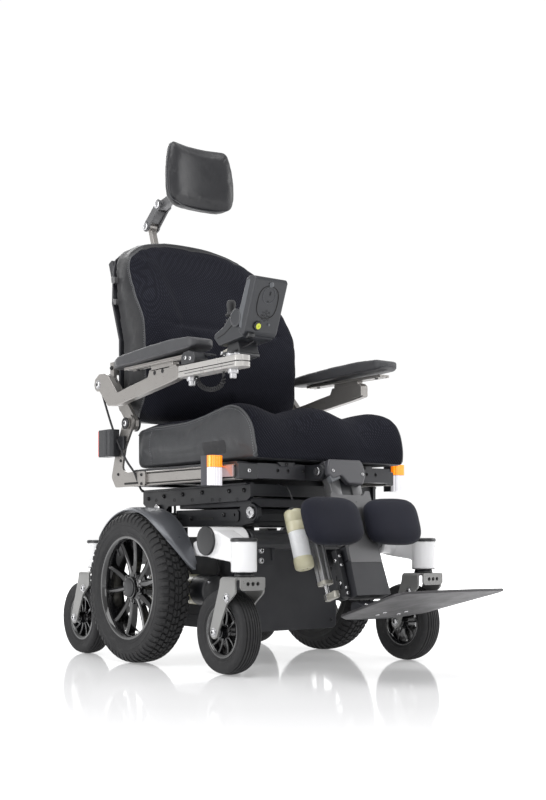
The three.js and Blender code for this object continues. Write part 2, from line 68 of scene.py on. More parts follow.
# ------------------------------------------------------------ materials
class Mat:
    """Small wrapper to write node materials quickly."""

    def __init__(self, name):
        self.m = bpy.data.materials.new(name)
        self.m.use_nodes = True
        self.nt = self.m.node_tree
        self.nt.nodes.clear()
        self.out = self.nt.nodes.new("ShaderNodeOutputMaterial")
        self.b = self.nt.nodes.new("ShaderNodeBsdfPrincipled")
        self.link(self.b.outputs[0], self.out.inputs[0])
        tc = self.nt.nodes.new("ShaderNodeTexCoord")
        self.obj = tc.outputs["Object"]

    def node(self, kind, **props):
        n = self.nt.nodes.new(kind)
        for k, v in props.items():
            setattr(n, k, v)
        return n

    def link(self, a, b):
        self.nt.links.new(a, b)

    def put(self, socket, v):
        if isinstance(v, (int, float)):
            socket.default_value = v
        elif isinstance(v, (tuple, list)):
            socket.default_value = tuple(v) + ((1.0,) if len(v) == 3 and socket.type == "RGBA" else ())
        else:
            self.link(v, socket)

    def math(self, op, a, b=0.0, c=0.0):
        n = self.node("ShaderNodeMath", operation=op)
        self.put(n.inputs[0], a)
        self.put(n.inputs[1], b)
        self.put(n.inputs[2], c)
        return n.outputs[0]

    def scaled(self, s):
        n = self.node("ShaderNodeMapping")
        self.put(n.inputs["Vector"], self.obj)
        n.inputs["Scale"].default_value = s if isinstance(s, tuple) else (s, s, s)
        return n.outputs[0]

    def noise(self, scale, detail=3.0, rough=0.5, vec=None):
        n = self.node("ShaderNodeTexNoise")
        self.put(n.inputs["Vector"], vec if vec is not None else self.obj)
        n.inputs["Scale"].default_value = scale
        n.inputs["Detail"].default_value = detail
        n.inputs["Roughness"].default_value = rough
        return n.outputs["Fac"]

    def voronoi(self, scale, feature="F1", vec=None, out="Distance"):
        n = self.node("ShaderNodeTexVoronoi", feature=feature)
        self.put(n.inputs["Vector"], vec if vec is not None else self.obj)
        n.inputs["Scale"].default_value = scale
        return n.outputs[out]

    def remap(self, v, a, b, c, d):
        n = self.node("ShaderNodeMapRange")
        self.put(n.inputs["Value"], v)
        for k, x in zip(("From Min", "From Max", "To Min", "To Max"), (a, b, c, d)):
            n.inputs[k].default_value = x
        return n.outputs[0]

    def mix(self, f, a, b):
        n = self.node("ShaderNodeMix", data_type="RGBA")
        self.put(n.inputs[0], f)
        self.put(n.inputs[6], a)
        self.put(n.inputs[7], b)
        return n.outputs[2]

    def bump(self, h, strength, dist):
        n = self.node("ShaderNodeBump")
        n.inputs["Strength"].default_value = strength
        n.inputs["Distance"].default_value = dist
        self.put(n.inputs["Height"], h)
        if self.b.inputs["Normal"].links:
            self.link(self.b.inputs["Normal"].links[0].from_socket, n.inputs["Normal"])
            self.nt.links.remove(self.b.inputs["Normal"].links[0])
        self.link(n.outputs[0], self.b.inputs["Normal"])

    def set(self, **kw):
        names = dict(color="Base Color", rough="Roughness", metal="Metallic", spec="Specular IOR Level",
                     coat="Coat Weight", coatr="Coat Roughness", sheen="Sheen Weight", sheenr="Sheen Roughness",
                     emit="Emission Color", emits="Emission Strength", trans="Transmission Weight", ior="IOR",
                     alpha="Alpha", aniso="Anisotropic", sss="Subsurface Weight")
        for k, v in kw.items():
            self.put(self.b.inputs[names[k]], v)
        return self


def shade(c, k):
    return tuple(min(1.0, x * k) for x in c[:3])


def coated(name, col, rough, metal=0.0, grain=1400, bump=0.25, dist=0.00006, var=0.18, coat=0.0, coatr=0.12, spec=0.5, dust=0.0):
    """Powder coat, paint or moulded plastic: fine orange peel, slow colour and gloss variation."""
    m = Mat(name)
    slow = m.noise(7, 4, 0.6)
    c = m.mix(slow, shade(col, 1 - var), shade(col, 1 + var))
    if dust:
        geo = m.node("ShaderNodeNewGeometry")
        sep = m.node("ShaderNodeSeparateXYZ")
        m.link(geo.outputs["Normal"], sep.inputs[0])
        up = m.remap(sep.outputs[2], 0.3, 1.0, 0.0, dust)
        c = m.mix(m.math("MULTIPLY", up, m.noise(30, 5, 0.7)), c, (0.32, 0.31, 0.30))
    m.set(color=c, metal=metal, coat=coat, coatr=coatr, spec=spec)
    r = m.remap(m.noise(23, 4, 0.65), 0.3, 0.7, max(0.03, rough - 0.07), min(1, rough + 0.07))
    m.set(rough=r)
    m.bump(m.noise(grain, 2, 0.5), bump, dist)
    return m.m


def brushed(name, col, rough=0.34, axis=1, metal=0.9, strength=0.35):
    """Anodised aluminium with a fine grain along one axis."""
    m = Mat(name)
    s = [2600.0, 2600.0, 2600.0]
    s[axis] = 60.0
    grain = m.noise(1.0, 2, 0.5, vec=m.scaled(tuple(s)))
    slow = m.noise(9, 3, 0.6)
    m.set(color=m.mix(slow, shade(col, 0.9), shade(col, 1.08)), metal=metal,
          rough=m.remap(grain, 0.25, 0.75, rough - 0.07, rough + 0.09))
    m.bump(grain, strength, 0.00003)
    m.bump(m.noise(1500, 2, 0.5), 0.12, 0.00004)
    return m.m


def rubber(name, col, rough=0.78, grain=700, bump=0.4):
    m = Mat(name)
    slow = m.noise(11, 5, 0.65)
    dusty = m.noise(60, 5, 0.7)
    c = m.mix(slow, shade(col, 0.8), shade(col, 1.25))
    c = m.mix(m.remap(dusty, 0.52, 0.8, 0.0, 0.28), c, (0.085, 0.083, 0.08))
    m.set(color=c, rough=m.remap(slow, 0.3, 0.7, rough - 0.1, rough + 0.08), spec=0.35)
    m.bump(m.noise(grain, 3, 0.6), bump, 0.00012)
    return m.m


def spacer(name, col=(0.0052, 0.0054, 0.0088), hi=(0.0215, 0.0225, 0.0320), pitch=0.0054):
    """Spacer mesh fabric: raised diagonal ribs, each a row of small open cells. The rib tops are painted lighter
    (colour hi, a painted highlight) and the cells darker (painted shade).
    """
    m = Mat(name)
    sep = m.node("ShaderNodeSeparateXYZ")
    m.link(m.obj, sep.inputs[0])
    x, y, z = sep.outputs
    v = m.math("ADD", z, m.math("MULTIPLY", y, -1.0))
    wob = m.math("MULTIPLY", m.noise(40, 2, 0.5), 0.0012)
    u = m.math("ADD", m.math("MULTIPLY", x, 0.74), m.math("ADD", m.math("MULTIPLY", v, 0.67), wob))
    w = m.math("ADD", m.math("MULTIPLY", x, -0.67), m.math("MULTIPLY", v, 0.74))
    rib = m.math("SINE", m.math("MULTIPLY", u, 2 * math.pi / pitch))
    cell = m.math("SINE", m.math("MULTIPLY", w, 2 * math.pi / (pitch * 0.62)))
    ribn = m.remap(rib, -0.4, 1.0, 0.0, 1.0)
    celln = m.remap(cell, -0.6, 0.5, 0.25, 1.0)
    h = m.math("MULTIPLY", ribn, celln)
    slow = m.remap(m.noise(6, 4, 0.6), 0.3, 0.7, 0.6, 1.25)
    # colour runs from col to hi with rib height: painted highlight on the rib tops, painted shade in the cells
    c = m.mix(m.math("MULTIPLY", h, slow), col, hi)
    m.set(color=c, rough=0.85, sheen=0.0, sheenr=0.5, spec=0.10)
    m.bump(h, 0.7, 0.0009)
    m.bump(m.noise(2600, 2, 0.5), 0.3, 0.0001)
    return m.m


def weave(name, col, hi, pitch=0.0012, rough=0.8, sheen=0.35):
    """Close woven stretch cover."""
    m = Mat(name)
    sep = m.node("ShaderNodeSeparateXYZ")
    m.link(m.obj, sep.inputs[0])
    x, y, z = sep.outputs
    v = m.math("ADD", z, y)
    a = m.math("SINE", m.math("MULTIPLY", x, 2 * math.pi / pitch))
    b = m.math("SINE", m.math("MULTIPLY", v, 2 * math.pi / pitch))
    h = m.remap(m.math("MULTIPLY", a, b), -1, 1, 0, 1)
    slow = m.noise(8, 4, 0.6)
    c = m.mix(m.math("MULTIPLY", h, m.remap(slow, 0.3, 0.7, 0.5, 1.1)), col, hi)
    m.set(color=c, rough=rough, sheen=sheen, sheenr=0.45, spec=0.2)
    m.bump(h, 0.45, 0.00035)
    m.bump(m.noise(60, 4, 0.6), 0.12, 0.001)
    return m.m


def hide(name, col, rough=0.46, scale=520, spec=0.45, strength=0.5):
    """Vinyl or synthetic leather with a pebbled grain."""
    m = Mat(name)
    cells = m.voronoi(scale, "F1")
    edge = m.remap(cells, 0.0, 0.55, 1.0, 0.0)
    slow = m.noise(6, 4, 0.6)
    c = m.mix(slow, shade(col, 0.86), shade(col, 1.14))
    c = m.mix(m.math("MULTIPLY", m.remap(cells, 0.35, 0.7, 0.0, 1.0), 0.35), c, shade(col, 0.5))
    m.set(color=c, rough=m.remap(m.noise(34, 4, 0.6), 0.3, 0.7, rough - 0.06, rough + 0.08), spec=spec, sheen=0.06)
    m.bump(edge, strength, 0.00022)
    m.bump(m.noise(38, 5, 0.6), 0.10, 0.0012)
    return m.m


def lens(name, col, emit, strength, rough=0.12):
    m = Mat(name)
    sep = m.node("ShaderNodeSeparateXYZ")
    m.link(m.obj, sep.inputs[0])
    stripe = m.math("SINE", m.math("MULTIPLY", sep.outputs[0], 2 * math.pi / 0.0042))
    glow = m.remap(stripe, -1, 1, 0.45, 1.25)
    m.set(color=m.mix(m.noise(50, 2, 0.5), shade(col, 0.92), col), rough=rough, emit=emit, coat=0.6, coatr=0.05,
          emits=m.math("MULTIPLY", glow, strength))
    m.bump(stripe, 0.5, 0.0006)
    return m.m


M = {}
M["frame"] = coated("frame_black", (0.0135, 0.0142, 0.017), 0.44, 0.0, grain=1100, bump=0.3, dust=0.05)
M["panel"] = coated("panel_black", (0.0140, 0.0146, 0.0188), 0.50, grain=900, bump=0.35)
M["tilt"] = coated("tilt_black", (0.0085, 0.0092, 0.0120), 0.42, 0.15, grain=1000, bump=0.25)
M["plastic"] = coated("plastic_black", (0.017, 0.018, 0.021), 0.42, grain=1500, bump=0.35, dist=0.0001)
M["gloss"] = coated("gloss_black", (0.0045, 0.0045, 0.0052), 0.16, grain=300, bump=0.05, coat=0.7, coatr=0.06)
M["cap"] = coated("cap_black", (0.0070, 0.0076, 0.0092), 0.38, grain=1500, bump=0.3)
M["white"] = coated("white_paint", (0.74, 0.74, 0.75), 0.22, grain=220, bump=0.04, var=0.015, coat=0.45, coatr=0.06)
M["guard"] = coated("guard_grey", (0.115, 0.120, 0.132), 0.34, 0.35, grain=1100, bump=0.2, var=0.06)
M["fork"] = coated("fork_grey", (0.238, 0.237, 0.232), 0.33, 0.35, grain=1100, bump=0.2, var=0.06)
M["alu"] = brushed("champagne_alu", (0.320, 0.306, 0.292), 0.33, 1, 0.75)
M["aluz"] = brushed("champagne_alu_z", (0.320, 0.306, 0.292), 0.34, 2, 0.75)
M["link"] = coated("link_light", (0.405, 0.395, 0.380), 0.30, 0.3, grain=1100, bump=0.15, var=0.04)
M["legalu"] = coated("leg_grey", (0.118, 0.118, 0.122), 0.34, 0.45, var=0.05)
M["cross"] = coated("cross_grey", (0.030, 0.0305, 0.035), 0.38, 0.2, grain=1100, bump=0.25, var=0.06)
M["knee"] = coated("knee_cover", (0.045, 0.045, 0.051), 0.34, grain=1500, bump=0.3, var=0.06)
M["steel"] = brushed("bright_steel", (0.40, 0.40, 0.41), 0.30, 2, 0.8, 0.25)
M["bolt"] = coated("bolt_steel", (0.50, 0.50, 0.51), 0.26, 1.0, grain=600, bump=0.15)
M["boltd"] = coated("bolt_dark", (0.03, 0.03, 0.032), 0.32, 0.7, grain=600, bump=0.15)
# near-black hole material: painted shade for the insides of holes, sockets, slots and grooves
M["hole"] = coated("hole_painted_shade", (0.002, 0.002, 0.002), 0.7)
M["tyre"] = rubber("tyre_rubber", (0.0135, 0.0135, 0.0145), 0.66)
M["soft"] = rubber("soft_rubber", (0.018, 0.018, 0.020), 0.6, 1500, 0.2)
M["mesh"] = spacer("spacer_mesh")
M["vinyl"] = hide("side_vinyl", (0.0215, 0.0230, 0.0265), 0.44, 520, 0.40)
M["vinylb"] = hide("back_vinyl", (0.0095, 0.0098, 0.0118), 0.48, 520, 0.30)
M["skin"] = hide("headrest_skin", (0.0110, 0.0112, 0.0135), 0.34, 640, 0.40, 0.30)
M["calf"] = weave("calf_cover", (0.0055, 0.006, 0.011), (0.014, 0.015, 0.026), 0.0012, 0.8, 0.06)
M["thread"] = weave("seam_thread", (0.16, 0.165, 0.175), (0.30, 0.31, 0.33), 0.0016, 0.6, 0.1)
M["piping"] = hide("piping_grey", (0.050, 0.052, 0.057), 0.42, 900)
M["pad"] = coated("arm_pad", (0.043, 0.0435, 0.0475), 0.50, grain=1600, bump=0.5, dist=0.00012, var=0.08, spec=0.4)
M["pod"] = coated("pod_plastic", (0.0190, 0.0205, 0.0245), 0.38, grain=1500, bump=0.35, dist=0.0001, var=0.08)
M["podlight"] = coated("pod_edge", (0.075, 0.08, 0.088), 0.36, grain=1500, bump=0.3, dist=0.0001, var=0.06)
M["jack"] = coated("jack_lime", (0.55, 0.60, 0.05), 0.35, var=0.05)
M["glass"] = coated("screen_glass", (0.004, 0.0045, 0.006), 0.06, grain=50, bump=0.0, coat=1.0, coatr=0.02)
M["button"] = coated("button_grey", (0.16, 0.165, 0.17), 0.45)
M["lampw"] = lens("lamp_clear", (0.56, 0.56, 0.60), (1.0, 0.97, 1.0), 0.50)
M["lampa"] = lens("lamp_amber", (0.75, 0.20, 0.01), (1.0, 0.22, 0.005), 1.5)
M["lampr"] = lens("lamp_red", (0.40, 0.008, 0.006), (1.0, 0.035, 0.02), 0.55)
M["stub"] = coated("stub_pink", (0.42, 0.30, 0.30), 0.18, 0.2, coat=0.6)
M["lamph"] = coated("lamp_housing", (0.038, 0.038, 0.047), 0.36, grain=1500, bump=0.3)
M["cream"] = coated("motor_cream", (0.50, 0.475, 0.33), 0.32, grain=600, bump=0.08, var=0.05, coat=0.2)
M["label"] = coated("plain_label", (0.66, 0.67, 0.68), 0.30, var=0.03)
M["silver"] = coated("motor_silver", (0.47, 0.455, 0.405), 0.30, 0.55, var=0.05)
M["plate"] = coated("foot_plate", (0.040, 0.038, 0.041), 0.42, 0.2, grain=700, bump=0.5, dist=0.0001, var=0.06)
M["battery"] = coated("battery_case", (0.02, 0.022, 0.025), 0.55)


# ------------------------------------------------------------ mesh helpers
def finish_piece(o, body, replaces=()):
    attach(o, body)
    if replaces:
        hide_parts(*replaces)
    return o


def mesh_object(name, verts, faces, mat, smooth=True, angle=38, mats=None, index=None):
    me = bpy.data.meshes.new(name)
    me.from_pydata([tuple(float(c) * MM for c in v) for v in verts], [], faces)
    me.validate()
    bm = bmesh.new()
    bm.from_mesh(me)
    bmesh.ops.recalc_face_normals(bm, faces=bm.faces)
    bm.to_mesh(me)
    bm.free()
    for m in mats or [mat]:
        me.materials.append(m)
    if index is not None:
        me.polygons.foreach_set("material_index", np.asarray(index, np.int32))
    me.polygons.foreach_set("use_smooth", [smooth] * len(me.polygons))
    if smooth and angle:
        me.set_sharp_from_angle(angle=math.radians(angle))
    o = bpy.data.objects.new(name, me)
    COL.objects.link(o)
    return o


def bevel(o, width, seg=2, angle=30):
    m = o.modifiers.new("bevel", "BEVEL")
    m.width = width * MM
    m.segments = seg
    m.limit_method = "ANGLE"
    m.angle_limit = math.radians(angle)
    m.harden_normals = True
    m.miter_outer = "MITER_ARC"
    return o


def fillet(pts, r, n=5):
    """Rounds the corners of a closed outline. r is one radius or one per corner."""
    pts = [Vector(p) for p in pts]
    out = []
    k = len(pts)
    for i, p in enumerate(pts):
        rad = r[i] if isinstance(r, (list, tuple)) else r
        a, b = pts[i - 1] - p, pts[(i + 1) % k] - p
        la, lb = a.length, b.length
        if rad <= 0 or la < 1e-6 or lb < 1e-6:
            out.append(tuple(p))
            continue
        a, b = a / la, b / lb
        ang = math.acos(max(-1, min(1, a.dot(b))))
        if ang > math.pi - 0.05:
            out.append(tuple(p))
            continue
        t = min(rad / math.tan(ang / 2), 0.48 * la, 0.48 * lb)
        p0, p1 = p + a * t, p + b * t
        for j in range(n + 1):
            s = j / n
            q = (1 - s) ** 2 * p0 + 2 * s * (1 - s) * p + s * s * p1
            out.append(tuple(q))
    return out


def circle(cx, cy, r, n=20):
    return [(cx + r * math.cos(2 * math.pi * i / n), cy + r * math.sin(2 * math.pi * i / n)) for i in range(n)]


def place(plane, a, b, d):
    if plane == "x":
        return (d, a, b)
    if plane == "y":
        return (a, d, b)
    return (a, b, d)


def prism(name, outer, d0, d1, plane="x", holes=(), mat=None, w=1.0, seg=2, mirror=False, xf=None):
    """A flat plate: an outline, with holes, pushed from d0 to d1 along the plane's normal."""
    bm = bmesh.new()
    edges = []
    for lp in [outer] + list(holes):
        vs = [bm.verts.new(place(plane, a, b, d0)) for a, b in lp]
        edges += [bm.edges.new((vs[i], vs[(i + 1) % len(vs)])) for i in range(len(vs))]
    if holes:
        bmesh.ops.triangle_fill(bm, use_beauty=True, use_dissolve=False, edges=edges)
    else:
        bm.faces.new([e.verts[0] for e in edges])
    got = bmesh.ops.extrude_face_region(bm, geom=bm.faces[:])
    top = [v for v in got["geom"] if isinstance(v, bmesh.types.BMVert)]
    bmesh.ops.translate(bm, verts=top, vec=Vector(place(plane, 0, 0, d1 - d0)))
    bmesh.ops.recalc_face_normals(bm, faces=bm.faces)
    if mirror:
        bmesh.ops.scale(bm, vec=(-1, 1, 1), verts=bm.verts)
        bmesh.ops.reverse_faces(bm, faces=bm.faces)
    if xf is not None:
        bmesh.ops.transform(bm, matrix=xf, verts=bm.verts)
    bmesh.ops.scale(bm, vec=(MM, MM, MM), verts=bm.verts)
    me = bpy.data.meshes.new(name)
    bm.to_mesh(me)
    bm.free()
    me.materials.append(mat)
    me.polygons.foreach_set("use_smooth", [True] * len(me.polygons))
    me.set_sharp_from_angle(angle=math.radians(32))
    o = bpy.data.objects.new(name, me)
    COL.objects.link(o)
    if w:
        bevel(o, w, seg)
    return o


def frame_of(direction):
    d = Vector(direction).normalized()
    up = Vector((0, 0, 1)) if abs(d.z) < 0.9 else Vector((0, 1, 0))
    a = d.cross(up).normalized()
    return a, d.cross(a).normalized(), d


def lathe_data(profile, centre, axis, n, closed=False):
    """Profile of (radius, offset along axis) turned about an axis through centre."""
    a, b, d = frame_of(axis)
    c = Vector(centre)
    verts, faces = [], []
    k = len(profile)
    for r, h in profile:
        for j in range(n):
            t = 2 * math.pi * j / n
            verts.append(c + d * h + (a * math.cos(t) + b * math.sin(t)) * max(r, 0.0))
    for i in range(k if closed else k - 1):
        for j in range(n):
            p, q = i * n, ((i + 1) % k) * n
            faces.append((p + j, p + (j + 1) % n, q + (j + 1) % n, q + j))
    return verts, faces


def lathe(name, profile, centre, axis, mat, n=48, closed=False, angle=38):
    """A turned body; profile ends on the axis are merged to a point."""
    v, f = lathe_data(profile, centre, axis, n, closed)
    o = mesh_object(name, v, f, mat, True, None)
    bm = bmesh.new()
    bm.from_mesh(o.data)
    bmesh.ops.remove_doubles(bm, verts=bm.verts, dist=1e-7)
    bmesh.ops.recalc_face_normals(bm, faces=bm.faces)
    bm.to_mesh(o.data)
    bm.free()
    o.data.polygons.foreach_set("use_smooth", [True] * len(o.data.polygons))
    o.data.set_sharp_from_angle(angle=math.radians(angle))
    return o


def disc_profile(r, h0, h1, e=1.2):
    """A round with softened rims, from h0 to h1."""
    s = 1 if h1 > h0 else -1
    return [(0, h0), (r - e, h0), (r - 0.3 * e, h0 + s * 0.3 * e), (r, h0 + s * e), (r, h1 - s * e), (r - 0.3 * e, h1 - s * 0.3 * e), (r - e, h1), (0, h1)]


def smooth_path(pts, n=8):
    """Catmull-Rom through the points."""
    p = [Vector(x) for x in pts]
    p = [2 * p[0] - p[1]] + p + [2 * p[-1] - p[-2]]
    out = []
    for i in range(1, len(p) - 2):
        for j in range(n):
            t = j / n
            a, b, c, d = p[i - 1], p[i], p[i + 1], p[i + 2]
            out.append(0.5 * ((2 * b) + (c - a) * t + (2 * a - 5 * b + 4 * c - d) * t * t + (3 * b - a - 3 * c + d) * t ** 3))
    out.append(p[-2])
    return out


def tube(name, pts, r, mat, n=10, smooth=8, closed=False, squash=None):
    path = smooth_path(pts, smooth) if smooth else [Vector(x) for x in pts]
    if closed and smooth:
        path = path[:-1] if (path[0] - path[-1]).length < 1e-4 else path
    k = len(path)
    verts, faces = [], []
    prev = None
    for i, p in enumerate(path):
        q0 = path[i - 1] if (i or closed) else path[0]
        q1 = path[(i + 1) % k] if (i < k - 1 or closed) else path[-1]
        t = (q1 - q0).normalized()
        if prev is None:
            prev = frame_of(t)[0]
        a = (prev - t * prev.dot(t)).normalized()
        b = t.cross(a)
        prev = a
        rr = r(i / max(1, k - 1)) if callable(r) else r
        for j in range(n):
            ang = 2 * math.pi * j / n
            verts.append(p + a * rr * math.cos(ang) + b * rr * math.sin(ang))
    for i in range(k if closed else k - 1):
        for j in range(n):
            p, q = i * n, ((i + 1) % k) * n
            faces.append((p + j, p + (j + 1) % n, q + (j + 1) % n, q + j))
    if not closed:
        faces.append(tuple(range(n)))
        faces.append(tuple((k - 1) * n + j for j in range(n)))
    return mesh_object(name, verts, faces, mat, True, 60)


def join(name, objs):
    """Merges helper meshes into one piece."""
    objs = [o for o in objs if o]
    dg = None
    bpy.ops.object.select_all(action="DESELECT")
    for o in objs:
        if o.modifiers:
            dg = bpy.context.evaluated_depsgraph_get()
            me = bpy.data.meshes.new_from_object(o.evaluated_get(dg), depsgraph=dg)
            o.modifiers.clear()
            o.data = me
    with bpy.context.temp_override(active_object=objs[0], selected_editable_objects=objs, selected_objects=objs, object=objs[0]):
        bpy.ops.object.join()
    objs[0].name = name
    objs[0].data.name = name
    return objs[0]


def bolts(name, places, r, h, mat, socket=True, washer=0.0):
    """Button-head bolts: places is a list of (point, outward direction)."""
    verts, faces, index = [], [], []
    for c, d in places:
        prof = [(r, 0), (r, h * 0.55), (r * 0.86, h * 0.88), (r * 0.6, h)]
        if washer:
            prof = [(r + washer, -0.2), (r + washer, 0.9), (r, 1.0)] + [(a, b + 1.0) for a, b in prof[1:]]
        hole = [(r * 0.42, prof[-1][1]), (r * 0.40, prof[-1][1] - h * 0.5), (0.0, prof[-1][1] - h * 0.5)]
        v, f = lathe_data(prof + (hole if socket else [(0.0, prof[-1][1])]), c, d, 18)
        base = len(verts)
        verts += v
        faces += [tuple(x + base for x in g) for g in f]
        ring = len(prof) - 1
        # socket faces take the near-black hole material: painted shade in the recess
        index += [1 if (socket and i // 18 >= ring + 1) else 0 for i in range(len(f))]
    o = mesh_object(name, verts, faces, mat, True, 50, mats=[mat, M["hole"]], index=index)
    return o


def dots(name, places, r, depth, mat=None, n=14):
    """Blind holes drawn as shallow cups with a thin rim, near-black inside: painted shade."""
    verts, faces = [], []
    for c, d in places:
        v, f = lathe_data([(r, -0.2), (r, 0.35), (r * 0.9, 0.4), (r * 0.85, 0.0), (r * 0.8, -depth), (0, -depth)], c, d, n)
        base = len(verts)
        verts += v
        faces += [tuple(x + base for x in g) for g in f]
    return mesh_object(name, verts, faces, mat or M["hole"], True, 50)


def box_piece(name, lo, hi, mat, w=1.5, seg=2):
    x0, y0, z0 = lo
    x1, y1, z1 = hi
    return prism(name, [(x0, y0), (x1, y0), (x1, y1), (x0, y1)], z0, z1, "z", mat=mat, w=w, seg=seg)


def cad(node, mat, w=0.8, seg=2, rules=None, angle=32):
    """Keeps a CAD node: new material, welded and softly beveled edges."""
    o = NODES[node]
    o.data.materials.clear()
    o.data.materials.append(mat)
    if rules:
        for m in dict.fromkeys(r[1] for r in rules):
            o.data.materials.append(m)
        order = [mat] + list(dict.fromkeys(r[1] for r in rules))
        for p in o.data.polygons:
            c = p.center / MM - Vector((0, 167.87, 0))
            p.material_index = 0
            for test, m in rules:
                if test(c, p.normal):
                    p.material_index = order.index(m)
                    break
    else:
        for p in o.data.polygons:
            p.material_index = 0
    wd = o.modifiers.new("weld", "WELD")
    wd.merge_threshold = 0.00002
    if w:
        bevel(o, w, seg, angle)
    return o


# ------------------------------------------------------------ wheels
SIDES = (("left", 1), ("right", -1))
DRIVE_X, DRIVE_Z = 277.0, 172.0


def interp(t, xs, ys):
    return float(np.interp(t, xs, ys))


def tread_tyre(name, k):
    """Drive tyre: a carcass with rings on the wall, and separate rubber blocks all round."""
    s_ = [-50, -44, -37, -29, -20, -10, 0, 10, 20, 29, 37, 44, 50]
    x_ = [-38, -37, -34, -28, -19.8, -10, 0, 10, 19.8, 28, 34, 37, 38]
    r_ = [147, 153, 159.5, 164, 166.4, 167.3, 167.5, 167.3, 166.4, 164, 159.5, 153, 147]
    half = [(117.0, 29.5), (121, 33.5), (124, 34.6), (125, 35.6), (127, 36.0), (128, 35.4), (134, 36.6), (139, 37.2),
            (140, 38.0), (142, 38.1), (143, 37.5), (148, 37.8), (153, 36.9), (156.5, 35.5), (160, 33.5), (162.3, 31), (164, 28), (165.4, 24),
            (166.4, 19.8), (167.3, 10)]
    prof = [(r, -x) for r, x in half] + [(167.5, 0)] + [(r, x) for r, x in reversed(half)]
    n = 144
    cx = DRIVE_X * k
    verts, faces = [], []

    def pt(x, r, th):
        return (cx + k * x, r * math.sin(th), DRIVE_Z + r * math.cos(th))

    for j in range(n):
        th = 2 * math.pi * j / n
        for r, x in prof:
            verts.append(pt(x, r, th))
    m = len(prof)
    for j in range(n):
        for i in range(m):
            a, b = j * m, ((j + 1) % n) * m
            faces.append((a + i, a + (i + 1) % m, b + (i + 1) % m, b + i))

    def block(th0, th1, s0, s1, h0, h1, skew=0.0, ns=3):
        """A rubber block: raised, with worn edges, following the carcass."""
        du = th1 - th0
        eu = 1.1 / 170
        us = [0, eu * 0.35, eu, du / 2, du - eu, du - eu * 0.35, du]
        hu = [0, 0.72, 1, 1, 1, 0.72, 0]
        L = s1 - s0
        vs = [0, 0.4, 1.2] + [1.2 + (L - 2.4) * t / (ns + 1) for t in range(1, ns + 1)] + [L - 1.2, L - 0.4, L]
        hv = [0, 0.72, 1] + [1] * ns + [1, 0.72, 0]
        base = len(verts)
        for i, u in enumerate(us):
            for j, v in enumerate(vs):
                s = s0 + v
                h = (h0 + (h1 - h0) * v / L + 0.8) * min(hu[i], hv[j]) - 0.8
                x, r = interp(s, s_, x_), interp(s, s_, r_)
                x2, r2 = interp(s + 1, s_, x_), interp(s + 1, s_, r_)
                x1, r1 = interp(s - 1, s_, x_), interp(s - 1, s_, r_)
                nx, nr = -(r2 - r1), (x2 - x1)
                q = math.hypot(nx, nr) or 1
                th = th0 + u + skew * abs(v / L - (0 if s0 >= 0 else 1)) / 170
                verts.append(pt(x + nx / q * h, r + nr / q * h, th))
        nv = len(vs)
        for i in range(len(us) - 1):
            for j in range(nv - 1):
                p = base + i * nv + j
                faces.append((p, p + 1, p + nv + 1, p + nv))

    N = 62
    step = 2 * math.pi / N
    for i in range(N):
        t = i * step
        big = 0.60 if i % 2 else 0.66
        block(t, t + step * 0.80, -8.5, -0.2, 4.2, 4.4, 3.0, 1)
        block(t, t + step * 0.80, 0.2, 8.5, 4.4, 4.2, 3.0, 1)
        for sgn in (-1, 1):
            a, b = sorted((sgn * 10.2, sgn * 21.5))
            block(t + step * 0.5, t + step * 1.26, a, b, 4.2 if sgn > 0 else 4.0, 4.0 if sgn > 0 else 4.2, 4.5, 1)
            a, b = sorted((sgn * 23.2, sgn * 47.5))
            h = (4.2, 1.1) if sgn > 0 else (1.1, 4.2)
            block(t + step * 0.08, t + step * (0.08 + big), a, b, h[0], h[1], -3.0, 4)
    o = mesh_object(name, verts, faces, M["tyre"], True, 34)
    return o


def loft_bar(p0, p1, sec0, sec1, n0, bow=0.0, steps=5):
    """A ribbed spoke from p0 to p1; sections are (across, along n0) pairs."""
    p0, p1, n0 = Vector(p0), Vector(p1), Vector(n0)
    t = (p1 - p0).normalized()
    c = t.cross(n0).normalized()
    verts, faces = [], []
    m = len(sec0)
    for i in range(steps + 1):
        f = i / steps
        p = p0.lerp(p1, f) + n0 * bow * 4 * f * (1 - f)
        for (a0, b0), (a1, b1) in zip(sec0, sec1):
            verts.append(p + c * (a0 + (a1 - a0) * f) + n0 * (b0 + (b1 - b0) * f))
    for i in range(steps):
        for j in range(m):
            a, b = i * m, (i + 1) * m
            faces.append((a + j, a + (j + 1) % m, b + (j + 1) % m, b + j))
    faces.append(tuple(range(m)))
    faces.append(tuple(steps * m + j for j in range(m)))
    return verts, faces


def merge_data(parts):
    verts, faces = [], []
    for v, f in parts:
        b = len(verts)
        verts += v
        faces += [tuple(x + b for x in g) for g in f]
    return verts, faces


